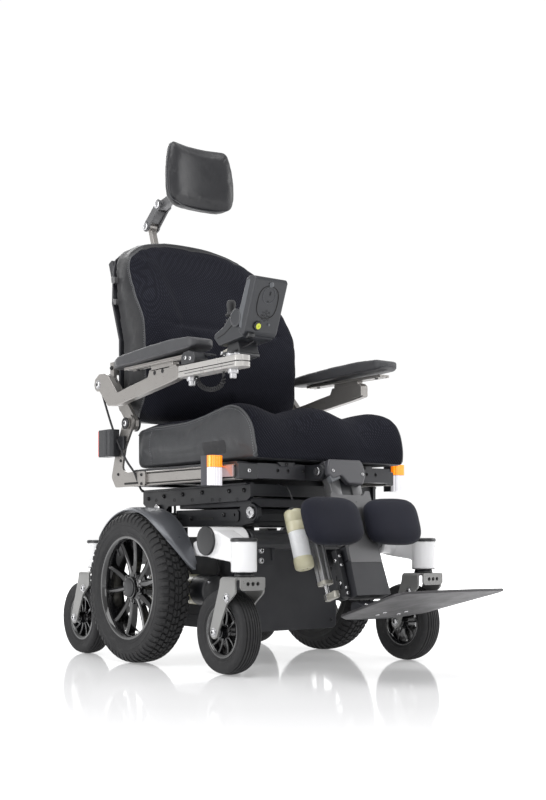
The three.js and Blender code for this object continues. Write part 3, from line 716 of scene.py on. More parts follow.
def drive_rim(name, k):
    cx = DRIVE_X * k
    C = (cx, 0, DRIVE_Z)
    ax = (k, 0, 0)
    parts = []
    # barrel with a rolled lip on each side
    prof = [(108.5, -24), (111, -27.5), (115, -29.5), (119.5, -29.5), (120.5, -28), (117, -26), (116, -22), (114, -14), (114, 14), (116, 22),
            (117, 26), (120.8, 28.2), (120.2, 30.4), (116, 31.2), (112.4, 30.2), (110.6, 27.5), (108.6, 24), (106.8, 12), (106.5, 0), (107.5, -14)]
    parts.append(lathe_data(prof, C, ax, 120, True))
    # hub drum, and a stepped flange that the spokes leave from
    hub = [(0, -32), (20, -32), (22, -30), (22, -6), (34, -3), (37, 0), (37.5, 6), (36.5, 12), (33, 14.5), (27.5, 15.5), (25.5, 16.5), (25, 22.5), (23.8, 23.6), (22.6, 23.6)]
    cap = [(22.6, 23.6), (22.2, 22.4), (21.4, 22.4), (20.8, 25.4), (19, 26.4), (12, 27.2), (0, 27.6)]
    parts.append(lathe_data(hub, C, ax, 64))
    n_hub = sum(len(f) for _, f in parts)
    spokes = []
    for i in range(5):
        for sg in (-1, 1):
            a0 = math.radians(72 * i + 9 + sg * 12.5)
            a1 = math.radians(72 * i + 9 + sg * 15.5)
            p0 = Vector((cx + k * 13.0, 30 * math.sin(a0), DRIVE_Z + 30 * math.cos(a0)))
            p1 = Vector((cx + k * 17.5, 108.6 * math.sin(a1), DRIVE_Z + 108.6 * math.cos(a1)))
            s0 = [(-6.2, -13), (-7.0, -1), (-5.4, 0.6), (sg * 1.6, 2.6), (5.4, 0.6), (7.0, -1), (6.2, -13)]
            s1 = [(-4.0, -20), (-5.6, -1), (-4.4, 0.6), (sg * 1.2, 3.0), (4.4, 0.6), (5.6, -1), (4.0, -20)]
            spokes.append(loft_bar(p0, p1, s0, s1, (k, 0, 0), -3.5, 6))
        # web that ties each pair near the hub
        a = math.radians(72 * i + 9)
        p0 = Vector((cx + k * 10.5, 27 * math.sin(a), DRIVE_Z + 27 * math.cos(a)))
        p1 = Vector((cx + k * 10.5, 50 * math.sin(a), DRIVE_Z + 50 * math.cos(a)))
        spokes.append(loft_bar(p0, p1, [(-8, -8), (-8, 1), (8, 1), (8, -8)], [(-7, -7), (-7, -1), (7, -1), (7, -7)], (k, 0, 0), 0, 1))
        # small boss for each wheel bolt
        b = math.radians(72 * i + 45)
        c = (cx, 30.5 * math.sin(b), DRIVE_Z + 30.5 * math.cos(b))
        spokes.append(lathe_data([(7.2, 8), (7.2, 16.6), (6.4, 17.6), (4.4, 17.8), (4.2, 14)], c, ax, 20))
    parts += spokes
    v, f = merge_data(parts)
    nf = len(f)
    vc, fc = lathe_data(cap, C, ax, 64)
    v, f2 = merge_data([(v, f), (vc, fc)])
    o = mesh_object(name, v, f2, M["gloss"], True, 40, mats=[M["gloss"], M["cap"]], index=[0] * nf + [1] * len(fc))
    return o


for side, k in SIDES:
    t = tread_tyre(f"tyre_{side}", k)
    finish_piece(t, f"drive_wheel_{side}", [f"drive_tyre_{side}"])
    r = drive_rim(f"rim_{side}", k)
    finish_piece(r, f"drive_wheel_{side}", [f"drive_rim_{side}"])
    lug = bolts(f"wheel_bolts_{side}", [((k * (DRIVE_X + 14.5), 30.5 * math.sin(math.radians(72 * i + 45)), DRIVE_Z + 30.5 * math.cos(math.radians(72 * i + 45))), (k, 0, 0)) for i in range(5)], 3.4, 3.0, M["boltd"])
    finish_piece(lug, f"drive_wheel_{side}")
    valve = lathe(f"valve_{side}", [(2.4, 0), (2.4, 9), (3.0, 10), (3.0, 16), (2.2, 18), (0, 18)], (k * (DRIVE_X + 19), 60.0, DRIVE_Z + 87.5), (k * 0.3, -60, -87.5), M["soft"], 14)
    finish_piece(valve, f"drive_wheel_{side}")

SWIVELS = {"front": -384.0, "rear": 218.0}
CX, TRAIL, CZ = 257.0, 54.0, 90.0


def caster_tyre(name, cx, cy, k):
    half = [(54, 16.5), (57, 18.6), (60, 20.2), (61, 21.2), (63, 21.4), (64, 20.9), (70, 23.2), (75, 24.6), (79, 25), (82.5, 24), (85.2, 21.8), (86.6, 19.2),
            (87.2, 17.6), (85.7, 17.0), (85.8, 15.4), (88.0, 14.8), (88.9, 10.8), (87.3, 10.3), (87.4, 8.7), (89.3, 8.2), (89.9, 4.3), (88.3, 3.8), (88.3, 2.2), (90.0, 1.7)]
    prof = [(r, -x) for r, x in half] + [(r, x) for r, x in reversed(half)]
    v, f = lathe_data(prof, (cx, cy, CZ), (k, 0, 0), 96, True)
    return mesh_object(name, v, f, M["tyre"], True, 40)


def caster_rim(name, cx, cy, k):
    C = (cx, cy, CZ)
    ax = (k, 0, 0)
    prof = [(46.5, -14), (48.5, -17), (52, -18.4), (55.4, -18.2), (56, -17), (53.4, -14), (52.6, -8), (52.6, 8), (53.4, 14), (56, 17), (55.4, 18.2), (52, 18.4), (48.5, 17), (46.5, 14), (45.6, 0)]
    parts = [lathe_data(prof, C, ax, 72, True)]
    parts.append(lathe_data([(7.6, -27), (12, -27), (14, -25.5), (14.4, -12), (17, -9), (17, 9), (14.4, 12), (14, 25.5), (12, 27), (7.6, 27)], C, ax, 36, True))
    for i in range(5):
        for sg in (-1, 1):
            a0 = math.radians(72 * i + sg * 17)
            a1 = math.radians(72 * i + sg * 15)
            p0 = Vector((cx, cy + 14 * math.sin(a0), CZ + 14 * math.cos(a0)))
            p1 = Vector((cx, cy + 47 * math.sin(a1), CZ + 47 * math.cos(a1)))
            s0 = [(-2.2, -11), (-2.6, 10.4), (-1.4, 11.6), (1.4, 11.6), (2.6, 10.4), (2.2, -11)]
            s1 = [(-1.8, -13), (-2.4, 13.2), (-1.2, 14.4), (1.2, 14.4), (2.4, 13.2), (1.8, -13)]
            parts.append(loft_bar(p0, p1, s0, s1, (k, 0, 0), -2.0, 4))
    v, f = merge_data(parts)
    return mesh_object(name, v, f, M["gloss"], True, 40)


def fork(name, cx, cy, k):
    """Bent sheet fork: a saddle with two tapering legs and a front flange."""
    leg = [(-20, 206), (31, 206), (34, 186), (67, 98), (66, 80), (54, 75), (43, 80), (38, 94), (10, 149), (-21, 172)]
    leg = fillet(leg, [0, 0, 16, 10, 12, 8, 12, 14, 26, 13], 5)
    # saddle: a U cross-section with rounded bends
    def arc(r, zt, xo):
        p = []
        for i in range(7):
            a = math.radians(90 * i / 6)
            p.append((xo - r + r * math.sin(a), zt - r + r * math.cos(a)))
        return p
    o_ = arc(8.0, 205.0, 38.0)
    i_ = arc(3.6, 199.8, 33.2)
    right_o = o_ + [(38, 70)]
    right_i = i_ + [(33.2, 70)]
    u = [(-x, z) for x, z in reversed(right_o)] + right_o + list(reversed(right_i)) + [(-x, z) for x, z in right_i]
    u = [p for i, p in enumerate(u) if i == 0 or (abs(p[0] - u[i - 1][0]) + abs(p[1] - u[i - 1][1])) > 1e-6]
    T = Matrix.Translation((cx, cy, 0)) if k > 0 else Matrix.Translation((cx, cy, 0))
    sad = prism(name, u, -31, 70, "y", mat=M["fork"], w=0)
    cutr = prism(name + "_c", leg, -45, 45, "x", mat=M["fork"], w=0)
    md = sad.modifiers.new("b", "BOOLEAN")
    md.operation = "INTERSECT"
    md.object = cutr
    md.solver = "EXACT"
    dg = bpy.context.evaluated_depsgraph_get()
    me = bpy.data.meshes.new_from_object(sad.evaluated_get(dg), depsgraph=dg)
    sad.modifiers.clear()
    sad.data = me
    bpy.data.objects.remove(cutr, do_unlink=True)
    me.materials.clear()
    me.materials.append(M["fork"])
    me.polygons.foreach_set("material_index", [0] * len(me.polygons))
    me.polygons.foreach_set("use_smooth", [True] * len(me.polygons))
    bevel(sad, 0.7, 2)
    # front flange with three holes, joined to the saddle by a bend
    fl = prism(name + "_f", fillet([(-31, 205), (31, 205), (31, 184), (26, 178), (-26, 178), (-31, 184)], [4, 4, 3, 4, 4, 3], 3), -31.5, -27.2, "y",
               holes=[circle(x, 191.5, 4.3, 18) for x in (-12.5, 0, 12.5)], mat=M["fork"], w=0.7)
    fr = prism(name + "_t", fillet([(-31, 204), (-31, 199.5), (31, 199.5), (31, 204), (27, 205), (-27, 205)], 0.5, 1), -31, -18, "y", mat=M["fork"], w=0.6)
    # near-black discs behind the flange holes: painted shade seen through the holes
    back = [prism(name + f"_h{i}", circle(x, 191.5, 4.2, 14), -27.4, -26.8, "y", mat=M["hole"], w=0) for i, x in enumerate((-12.5, 0, 12.5))]
    collar = lathe(name + "_k", [(0, 204), (20.5, 204), (21, 205), (21, 210), (19.5, 212.4), (0, 212.4)], (0, 0, 0), (0, 0, 1), M["cap"], 36)
    o = join(name, [sad, fl, fr, collar] + back)
    o.matrix_world = Matrix.Translation((cx * MM, cy * MM, 0))
    return o


for where, sy in SWIVELS.items():
    for side, k in SIDES:
        cx, wy = CX * k, sy + TRAIL
        t = caster_tyre(f"caster_tyre_skin_{where}_{side}", cx, wy, k)
        finish_piece(t, f"caster_wheel_{where}_{side}", [f"caster_tyre_{where}_{side}"])
        r = caster_rim(f"caster_wheel_centre_{where}_{side}", cx, wy, k)
        finish_piece(r, f"caster_wheel_{where}_{side}", [f"caster_rim_{where}_{side}"])
        f = fork(f"fork_sheet_{where}_{side}", cx, sy, k)
        finish_piece(f, f"caster_fork_{where}_{side}", [f"caster_fork_{where}_{side}"])
        pts = []
        for sx in (-1, 1):
            pts.append(((cx + sx * 37.8, wy, CZ), (sx, 0, 0)))
            pts.append(((cx + sx * 37.8, sy + 8, 163), (sx, 0, 0)))
        b = bolts(f"fork_bolts_{where}_{side}", pts, 7.2, 4.2, M["bolt"], washer=2.2)
        finish_piece(b, f"caster_fork_{where}_{side}")
        axle = lathe(f"caster_axle_{where}_{side}", [(0, -33.2), (9.5, -33.2), (10.5, -32), (10.5, -27.6), (6.6, -27), (6.6, 27), (10.5, 27.6), (10.5, 32), (9.5, 33.2), (0, 33.2)], (cx, wy, CZ), (1, 0, 0), M["steel"], 24)
        finish_piece(axle, f"caster_fork_{where}_{side}")


# ------------------------------------------------------------ suspension arms
def cast(name, parts, mat, voxel=2.0, rounds=6):
    """Blends overlapping solids into one smooth casting."""
    o = join(name, parts)
    me = o.data
    md = o.modifiers.new("r", "REMESH")
    md.mode = "VOXEL"
    md.voxel_size = voxel * MM * 1
    sm = o.modifiers.new("s", "SMOOTH")
    sm.factor = 0.5
    sm.iterations = rounds
    dg = bpy.context.evaluated_depsgraph_get()
    new = bpy.data.meshes.new_from_object(o.evaluated_get(dg), depsgraph=dg)
    o.modifiers.clear()
    o.data = new
    new.materials.clear()
    new.materials.append(mat)
    new.polygons.foreach_set("material_index", [0] * len(new.polygons))
    new.polygons.foreach_set("use_smooth", [True] * len(new.polygons))
    return o


def front_arm(k):
    side = "left" if k > 0 else "right"
    n = f"arm_front_{side}"
    py, pz = -293, 279
    tube_ = lathe(n + "_a", disc_profile(30, 197, 287, 2), (0, py, pz), (k, 0, 0), M["white"], 48)
    barrel = lathe(n + "_b", disc_profile(27, 214, 279, 1.5), (k * CX, -384, 0), (0, 0, 1), M["white"], 48)
    beam = prism(n + "_c", fillet([(-266, 300), (-293, 309), (-384, 276), (-384, 234), (-300, 243), (-266, 248)], [8, 14, 4, 4, 20, 8], 4), k * 233, k * 281, "x", mat=M["white"], w=9, seg=3)
    tail = prism(n + "_d", fillet([(-290, 306), (-290, 250), (-206, 244), (-150, 246), (-150, 276), (-206, 290)], [8, 8, 20, 6, 6, 24], 4), k * 199, k * 227, "x", mat=M["white"], w=8, seg=3)
    body = cast(n, [tube_, barrel, beam, tail], M["white"], 2.0, 6)
    finish_piece(body, f"front_arm_{side}", [f"front_arm_{side}"])
    cap = lathe(n + "_pivot_cap", [(0, 285.5), (29.5, 285.5), (31, 286.6), (31.2, 290), (30, 292.2), (26, 293), (12, 293.6), (0, 293.8)], (0, py, pz), (k, 0, 0), M["cap"], 56)
    finish_piece(cap, f"front_arm_{side}")
    top = lathe(n + "_barrel_cap", [(0, 277.5), (27.2, 277.5), (28.2, 278.6), (28.2, 282.2), (26.6, 284.4), (22, 285.4), (0, 285.8)], (k * CX, -384, 0), (0, 0, 1), M["cap"], 56)
    finish_piece(top, f"front_arm_{side}")
    low = lathe(n + "_seal", [(22, 215.5), (26.4, 215), (26.6, 213.6), (24, 213), (18, 213)], (k * CX, -384, 0), (0, 0, 1), M["cap"], 48)
    finish_piece(low, f"front_arm_{side}")


def rear_arm(k):
    side = "left" if k > 0 else "right"
    n = f"arm_rear_{side}"
    tube_ = lathe(n + "_a", disc_profile(23, 197, 234, 2), (0, 85, 245), (k, 0, 0), M["white"], 40)
    barrel = lathe(n + "_b", disc_profile(27, 214, 275, 1.5), (k * CX, 218, 0), (0, 0, 1), M["white"], 48)
    beam = prism(n + "_c", fillet([(85, 266), (85, 224), (204, 224), (222, 230), (222, 262), (204, 265)], [8, 8, 10, 6, 6, 10], 4), k * 202, k * 231, "x", mat=M["white"], w=7, seg=3)
    tie = prism(n + "_d", fillet([(k * 224, 200), (k * 258, 200), (k * 258, 228), (k * 224, 228)], 4, 3), 228, 264, "z", mat=M["white"], w=5, seg=3)
    body = cast(n, [tube_, barrel, beam, tie], M["white"], 2.0, 6)
    finish_piece(body, f"rear_arm_{side}", [f"rear_arm_{side}"])
    top = lathe(n + "_barrel_cap", [(0, 273.5), (27.2, 273.5), (28.2, 274.6), (28.2, 278.2), (26.6, 280.4), (22, 281.4), (0, 281.8)], (k * CX, 218, 0), (0, 0, 1), M["cap"], 56)
    finish_piece(top, f"rear_arm_{side}")
    low = lathe(n + "_seal", [(22, 215.5), (26.4, 215), (26.6, 213.6), (24, 213), (18, 213)], (k * CX, 218, 0), (0, 0, 1), M["cap"], 48)
    finish_piece(low, f"rear_arm_{side}")


for side, k in SIDES:
    front_arm(k)
    rear_arm(k)


# ------------------------------------------------------------ mudguards
def mudguard(k):
    side = "left" if k > 0 else "right"
    na, nx = 72, 16
    a0, a1 = 14.0, 149.0
    outer, inner = [], []
    for i in range(na + 1):
        f = i / na
        a = a0 + (a1 - a0) * f
        t = min(1.0, max(0.0, (a - a0) / 46.0))
        xo = 241 + (302 - 241) * math.sin(t * math.pi / 2) ** 0.82
        e = min(1.0, max(0.0, (a1 - a) / 10.0))
        xo = xo - (1 - math.sin(e * math.pi / 2)) * 16
        xi = 231.5 + (0.0 if t > 0.2 else (0.2 - t) * 22)
        ra = math.radians(a)
        for lst, off in ((outer, 0.0), (inner, -2.6)):
            row = []
            for j in range(nx + 1):
                g = j / nx
                x = xi + (xo - xi) * g
                # rolled edge outside, gentle crown across
                drop = 4.6 * max(0.0, (g - 0.80) / 0.20) ** 2 + 1.2 * max(0.0, (0.12 - g) / 0.12) ** 2
                r = 184.4 - 1.2 * (2 * g - 1) ** 2 - drop + off
                row.append((k * x, -r * math.cos(ra), DRIVE_Z + r * math.sin(ra)))
            lst.append(row)
    verts, faces = [], []
    m = nx + 1
    for row in outer:
        verts += row
    base = len(verts)
    for row in inner:
        verts += row
    for i in range(na):
        for j in range(nx):
            p = i * m + j
            faces.append((p, p + 1, p + m + 1, p + m))
            q = base + p
            faces.append((q, q + m, q + m + 1, q + 1))
    for i in range(na):
        for j in (0, nx):
            p = i * m + j
            faces.append((p, p + m, base + p + m, base + p))
    for j in range(nx):
        for i in (0, na):
            p = i * m + j
            faces.append((p, p + 1, base + p + 1, base + p))
    roof = mesh_object(f"guard_{side}_roof", verts, faces, M["guard"], True, 50)
    # inner flange and bracket
    fl = []
    for i in range(41):
        a = math.radians(18 + (146 - 18) * i / 40)
        fl.append((-183.2 * math.cos(a), DRIVE_Z + 183.2 * math.sin(a)))
    for i in range(40, -1, -1):
        a = math.radians(18 + (146 - 18) * i / 40)
        fl.append((-175.5 * math.cos(a), DRIVE_Z + 175.5 * math.sin(a)))
    flange = prism(f"guard_{side}_flange", fl, k * 231.6, k * 234.4, "x", mat=M["guard"], w=0.5)
    b1 = box_piece(f"guard_{side}_b1", (min(k * 176, k * 236), -13, 339), (max(k * 176, k * 236), 13, 344), M["frame"], 1.2)
    b2 = box_piece(f"guard_{side}_b2", (min(k * 176, k * 181), -13, 250), (max(k * 176, k * 181), 13, 344), M["frame"], 1.2)
    b3 = box_piece(f"guard_{side}_b3", (min(k * 151, k * 181), -13, 250), (max(k * 151, k * 181), 13, 255), M["frame"], 1.2)
    o = join(f"guard_{side}", [roof, flange, b1, b2, b3])
    finish_piece(o, "chassis", [f"mudguard_{side}"])


for side, k in SIDES:
    mudguard(k)


# ------------------------------------------------------------ soft goods
from mathutils.bvhtree import BVHTree

SOFT = []


def baked(o):
    dg = bpy.context.evaluated_depsgraph_get()
    me = bpy.data.meshes.new_from_object(o.evaluated_get(dg), depsgraph=dg)
    o.modifiers.clear()
    o.data = me
    return o


def coords(me):
    a = np.empty(len(me.vertices) * 3, np.float64)
    me.vertices.foreach_get("co", a)
    return a.reshape(-1, 3)


def put_coords(me, a):
    me.vertices.foreach_set("co", np.asarray(a, np.float64).ravel())
    me.update()


def soft(o, voxel, rounds, cap, cap_of=None, pressure=4.0, levels=1):
    """Remesh a plain closed form so that it can be simulated as a padded cover."""
    md = o.modifiers.new("r", "REMESH")
    md.mode = "VOXEL"
    md.voxel_size = voxel * MM
    sm = o.modifiers.new("s", "SMOOTH")
    sm.factor = 0.5
    sm.iterations = rounds
    baked(o)
    SOFT.append(dict(o=o, cap=cap, cap_of=cap_of, pressure=pressure, levels=levels))
    return o


def simulate_all():
    """All covers are inflated together, then frozen: no cloth stays on a piece."""
    for s in SOFT:
        c = s["o"].modifiers.new("cloth", "CLOTH")
        st = c.settings
        st.quality = 4
        st.mass = 0.25
        st.tension_stiffness = 22
        st.compression_stiffness = 22
        st.shear_stiffness = 8
        st.bending_stiffness = 1.2
        st.use_pressure = True
        st.uniform_pressure_force = s["pressure"]
        st.effector_weights.gravity = 0
        c.collision_settings.use_collision = False
        c.collision_settings.use_self_collision = False
        c.point_cache.frame_start = 1
        c.point_cache.frame_end = 20
    sc = bpy.context.scene
    sc.frame_start, sc.frame_end = 1, 20
    for f in range(1, 21):
        sc.frame_set(f)
    dg = bpy.context.evaluated_depsgraph_get()
    moved = {}
    for s in SOFT:
        ev = s["o"].evaluated_get(dg).to_mesh()
        moved[s["o"].name] = coords(ev).copy()
        s["o"].evaluated_get(dg).to_mesh_clear()
    for s in SOFT:
        o = s["o"]
        start = coords(o.data)
        d = moved[o.name] - start
        L = np.linalg.norm(d, axis=1)
        cap = np.full(len(start), s["cap"] * MM)
        if s["cap_of"]:
            cap = cap * s["cap_of"](start / MM)
        # soft limit: points ease towards the cap, so no edge shows where it bites
        gain = np.where(L > 1e-9, cap * np.tanh(L / np.maximum(cap, 1e-9)) / np.maximum(L, 1e-9), 0)
        print("cloth", o.name, "mean mm", round(float(L.mean() * 1000), 2), "max mm", round(float(L.max() * 1000), 2))
        o.modifiers.clear()
        put_coords(o.data, start + d * gain[:, None])
    sc.frame_set(1)
    for s in SOFT:
        o = s["o"]
        sm = o.modifiers.new("s", "SMOOTH")
        sm.factor = 0.5
        sm.iterations = 2
        sub = o.modifiers.new("u", "SUBSURF")
        sub.levels = sub.render_levels = s["levels"]
        baked(o)
        o.data.polygons.foreach_set("use_smooth", [True] * len(o.data.polygons))


def inside(poly, a, b):
    """Even-odd test of many points against one outline."""
    poly = np.asarray(poly, float)
    r = np.zeros(len(a), bool)
    j = len(poly) - 1
    for i in range(len(poly)):
        yi, zi = poly[i]
        yj, zj = poly[j]
        c = ((zi > b) != (zj > b)) & (a < (yj - yi) * (b - zi) / ((zj - zi) or 1e-9) + yi)
        r ^= c
        j = i
    return r


def bvh(o):
    bm = bmesh.new()
    bm.from_mesh(o.data)
    t = BVHTree.FromBMesh(bm)
    bm.free()
    return t


def cast_on(tree, pts, direction, lift=0.0):
    """Drops points (mm) on a surface along a direction; returns points and normals."""
    out = []
    d = Vector(direction).normalized()
    for p in pts:
        hit, nor, _, _ = tree.ray_cast(Vector(p) * MM, d)
        if hit is None:
            hit, nor, _, _ = tree.find_nearest(Vector(p) * MM)
        if nor.dot(d) > 0:
            nor = -nor
        out.append((hit / MM + nor * lift, nor))
    return out


def nearest_on(tree, pts, lift=0.0):
    out = []
    for p in pts:
        hit, nor, _, _ = tree.find_nearest(Vector(p) * MM)
        out.append((hit / MM + nor * lift, nor))
    return out


def resample(pts, step):
    pts = [Vector(p) for p in pts]
    L = [0.0]
    for a, b in zip(pts, pts[1:]):
        L.append(L[-1] + (b - a).length)
    n = max(2, int(round(L[-1] / step)))
    out = []
    k = 0
    for i in range(n + 1):
        t = L[-1] * i / n
        while k < len(L) - 2 and L[k + 1] < t:
            k += 1
        f = (t - L[k]) / max(1e-9, L[k + 1] - L[k])
        out.append(pts[k].lerp(pts[k + 1], min(1, f)))
    return out


def curve2(pts, n=10):
    return [tuple(p)[:2] for p in smooth_path([(a, b, 0) for a, b in pts], n)]


def stitches(name, path, mat, body, dash=3.6, gap=2.0, r=0.42):
    """Short sunk thread dashes along points lying on a surface."""
    path = resample(path, dash + gap)
    parts = []
    for a, b in zip(path, path[1:]):
        d = (b - a)
        if d.length < 1e-6:
            continue
        p0, p1 = a + d * 0.1, a + d * (0.1 + dash / (dash + gap))
        u, w, t = frame_of(d)
        verts, faces = [], []
        for f, rr in ((0, 0.45), (0.25, 1.0), (0.75, 1.0), (1, 0.45)):
            for j in range(5):
                ang = 2 * math.pi * j / 5
                verts.append(p0.lerp(p1, f) + (u * math.cos(ang) + w * math.sin(ang)) * r * rr)
        for i in range(3):
            for j in range(5):
                faces.append((i * 5 + j, i * 5 + (j + 1) % 5, (i + 1) * 5 + (j + 1) % 5, (i + 1) * 5 + j))
        faces.append((0, 1, 2, 3, 4))
        faces.append((15, 16, 17, 18, 19))
        parts.append((verts, faces))
    v, f = merge_data(parts)
    o = mesh_object(name, v, f, mat, True, 70)
    return finish_piece(o, body)


# seat cushion --------------------------------------------------------------
SEAT_SIDE = [(102, 449), (102, 535), (93, 543), (62, 547), (35, 549.5), (0, 550), (-60, 549.5), (-99, 551), (-135, 556), (-168, 561), (-205, 566.5), (-240, 569.5), (-272, 569.5),
             (-298, 565), (-318, 557), (-335, 545), (-348, 529), (-356, 510), (-361, 486), (-364, 466), (-365, 449)]
SEAT_TOP_Y = [-372, -352, -330, -300, -270, -235, -200, -165, -130, -96, -40, 0, 30, 96]
SEAT_TOP_Z = [545, 556, 564.5, 568.5, 569, 567.5, 564, 559.5, 556, 554, 553.5, 553.5, 553, 545]


def edge_hold(tree, pts, k, lift):
    """Points that slipped over the top edge are brought back to the side edge."""
    out = []
    for p in pts:
        p = Vector(p)
        if abs(p.x) < 207:
            hit, nor, _, _ = tree.find_nearest(Vector((k * 216, p.y, p.z)) * MM)
            p = hit / MM + nor * lift
        out.append(p)
    return out


def below_edge(tree, pts, k, drop):
    """Keeps sideways rays under the upper edge of the cover, so none passes over it."""
    out = []
    for x, y, z in pts:
        hit, _, _, _ = tree.ray_cast(Vector((k * 211, y, 700)) * MM, Vector((0, 0, -1)))
        if hit is not None:
            z = min(z, hit.z / MM - drop)
        out.append((x, y, z))
    return out


def build_seat():
    prof = [(101, 451), (101, 538), (92, 545), (44, 550.5), (-40, 552), (-96, 553.5), (-140, 558), (-176, 563), (-234, 570), (-275, 572), (-305, 568), (-330, 559), (-348, 543),
            (-360, 520), (-367, 494), (-369, 470), (-369, 456), (-362, 451)]
    prof = fillet(prof, [8, 8, 12, 20, 0, 20, 20, 20, 20, 20, 20, 20, 20, 20, 20, 20, 6, 6], 3)
    o = prism("seat_cover", prof, -217, 217, "x", mat=M["mesh"], w=0)
    # dense enough for the humps: remesh first, then shape, then remesh again
    md = o.modifiers.new("r", "REMESH")
    md.mode = "VOXEL"
    md.voxel_size = 5 * MM
    baked(o)
    a = coords(o.data) / MM
    x, y, z = a[:, 0], a[:, 1], a[:, 2]
    front = np.clip((-40 - y) / 230.0, 0, 1)
    front = front * front * (3 - 2 * front)
    wave = 0.5 * (np.cos(2 * math.pi * np.abs(x) / 196.0) - 1)
    up = np.clip((z - 470) / 80.0, 0, 1)
    hump = (20.0 * front + 5.0 * (1 - front)) * wave * up
    edge = np.clip((np.abs(x) - 196) / 26.0, 0, 1)
    z2 = z + hump - 4.0 * edge ** 2 * up
    # the front face swells with the same lobes, and tucks under
    fy = np.clip((-330 - y) / 36.0, 0, 1)
    y2 = y - 5.0 * fy * wave * np.clip((z - 455) / 60, 0, 1) + 4.0 * fy * edge ** 2
    # sides pull in a little at the base
    x2 = x * (1 - 0.012 * np.clip((470 - z) / 20, 0, 1))
    a2 = np.stack([x2, y2, z2], 1)
    put_coords(o.data, a2 * MM)

    def cap_of(p):
        w = np.clip((p[:, 2] - 452) / 14.0, 0, 1) * np.clip((96 - p[:, 1]) / 12.0, 0.0, 1)
        side = np.clip((np.abs(p[:, 0]) - 208) / 8.0, 0, 1)
        return w * (1 - 0.45 * side)

    soft(o, 5, 5, 7, cap_of)
    return o


def finish_seat(o):
    me = o.data
    me.materials.clear()
    for m in (M["mesh"], M["vinyl"], M["plastic"]):
        me.materials.append(m)
    n = len(me.polygons)
    c = np.empty(n * 3)
    me.polygons.foreach_get("center", c)
    c = c.reshape(-1, 3) / MM
    nor = np.empty(n * 3)
    me.polygons.foreach_get("normal", nor)
    nor = nor.reshape(-1, 3)
    side = inside(SEAT_SIDE, c[:, 1], c[:, 2]) & (np.abs(c[:, 0]) > 200) & (np.abs(nor[:, 0]) > 0.30)
    side |= (np.abs(c[:, 0]) > 200) & (c[:, 1] > 45) & (np.abs(nor[:, 0]) > 0.3)
    under = nor[:, 2] < -0.75
    idx = np.where(side, 1, np.where(under, 2, 0)).astype(np.int32)
    me.polygons.foreach_set("material_index", idx)
    finish_piece(o, "seat", ["seat_cushion"])
    tree = bvh(o)
    top = curve2(SEAT_SIDE[1:], 6)
    for side_, k in SIDES:
        line = edge_hold(tree, [p for p, _ in cast_on(tree, below_edge(tree, [(k * 260, a, b) for a, b in top], k, 1.0), (-k, 0, 0), 0.4)], k, 0.4)
        for _ in range(4):
            line = [line[0]] + [(line[i - 1] + line[i] * 2 + line[i + 1]) / 4 for i in range(1, len(line) - 1)] + [line[-1]]
        finish_piece(tube(f"seat_piping_{side_}", resample(line, 6), 1.9, M["piping"], 8, 0), "seat")
        inner = []
        for i, (a, b) in enumerate(top):
            p0, p1 = Vector(top[max(0, i - 1)]), Vector(top[min(len(top) - 1, i + 1)])
            t = (p1 - p0).normalized()
            q = Vector((a, b)) + Vector((-t.y, t.x)) * 6.0
            inner.append((k * 260, q.x, q.y))
        inner = [p for p in inner if p[2] > 452]
        st = edge_hold(tree, [p for p, _ in cast_on(tree, below_edge(tree, inner, k, 5.5), (-k, 0, 0), 0.25)], k, 0.25)
        stitches(f"seat_stitch_{side_}", st, M["thread"], "seat", 3.4, 2.2, 0.38)
        # upright seam near the rear, with its stitch row
        v = [(k * 260, 42 - 6 * (z - 452) / 96, z) for z in np.linspace(453, 548, 20)]
        seam = [p for p, _ in cast_on(tree, v, (-k, 0, 0), -0.2)]
        finish_piece(tube(f"seat_seam_{side_}", seam, 0.9, M["piping"], 6, 0), "seat")
        v = [(k * 260, 46 - 6 * (z - 452) / 96, z) for z in np.linspace(455, 546, 20)]
        stitches(f"seat_seam_stitch_{side_}", [p for p, _ in cast_on(tree, v, (-k, 0, 0), 0.2)], M["thread"], "seat", 3.4, 2.2, 0.34)
        # plain sewn tab, without any mark
        if k < 0:
            nx, nz = 14, 6
            verts, faces = [], []
            for i in range(nx + 1):
                for j in range(nz + 1):
                    yy = -172 - 90 * i / nx
                    zz = 466 + 32 * j / nz
                    p, nrm = cast_on(tree, [(k * 260, yy, zz)], (-k, 0, 0), 0.0)[0]
                    edge = min(i, nx - i, j, nz - j)
                    verts.append(p + nrm * (1.1 if edge else -0.6))
            for i in range(nx):
                for j in range(nz):
                    q = i * (nz + 1) + j
                    faces.append((q, q + 1, q + nz + 2, q + nz + 1))
            finish_piece(mesh_object("seat_tab", verts, faces, M["soft"], True, 60), "seat")


# back cushion -------------------------------------------------------------
BACK_F = ([564, 574, 588, 602, 640, 690, 725, 760, 791, 825, 858, 900, 935, 960, 985, 1022, 1038],
          [66, 50, 38, 28, 13, 6, 5, 10, 22, 42, 62, 94, 122, 146, 170, 198, 212])
BACK_W = ([564, 572, 585, 600, 622, 700, 800, 862], [190, 204, 214, 219, 220.5, 221, 220.5, 219])
for z_ in list(range(870, 956, 10)) + [962, 970, 978, 986, 994, 1000, 1006, 1012, 1017, 1022, 1026, 1030, 1033, 1036, 1038]:
    w_ = 219 - (z_ - 862) * 0.165
    if z_ > 955:
        w_ *= (1 - ((z_ - 955) / 84.0) ** 2.4) ** (1 / 2.4)
    BACK_W[0].append(z_)
    BACK_W[1].append(w_)
BACK_R = ([564, 574, 588, 768, 900, 974, 1010, 1030, 1038], [150, 160, 165, 166, 212, 237, 236, 230, 220])
BACK_SEAM = [(128, 570), (106, 582), (84, 596), (66, 614), (58, 640), (56, 690), (58, 743), (62, 793), (76, 822), (100, 855), (124, 883), (142, 905), (157, 930), (166, 950), (172, 972)]


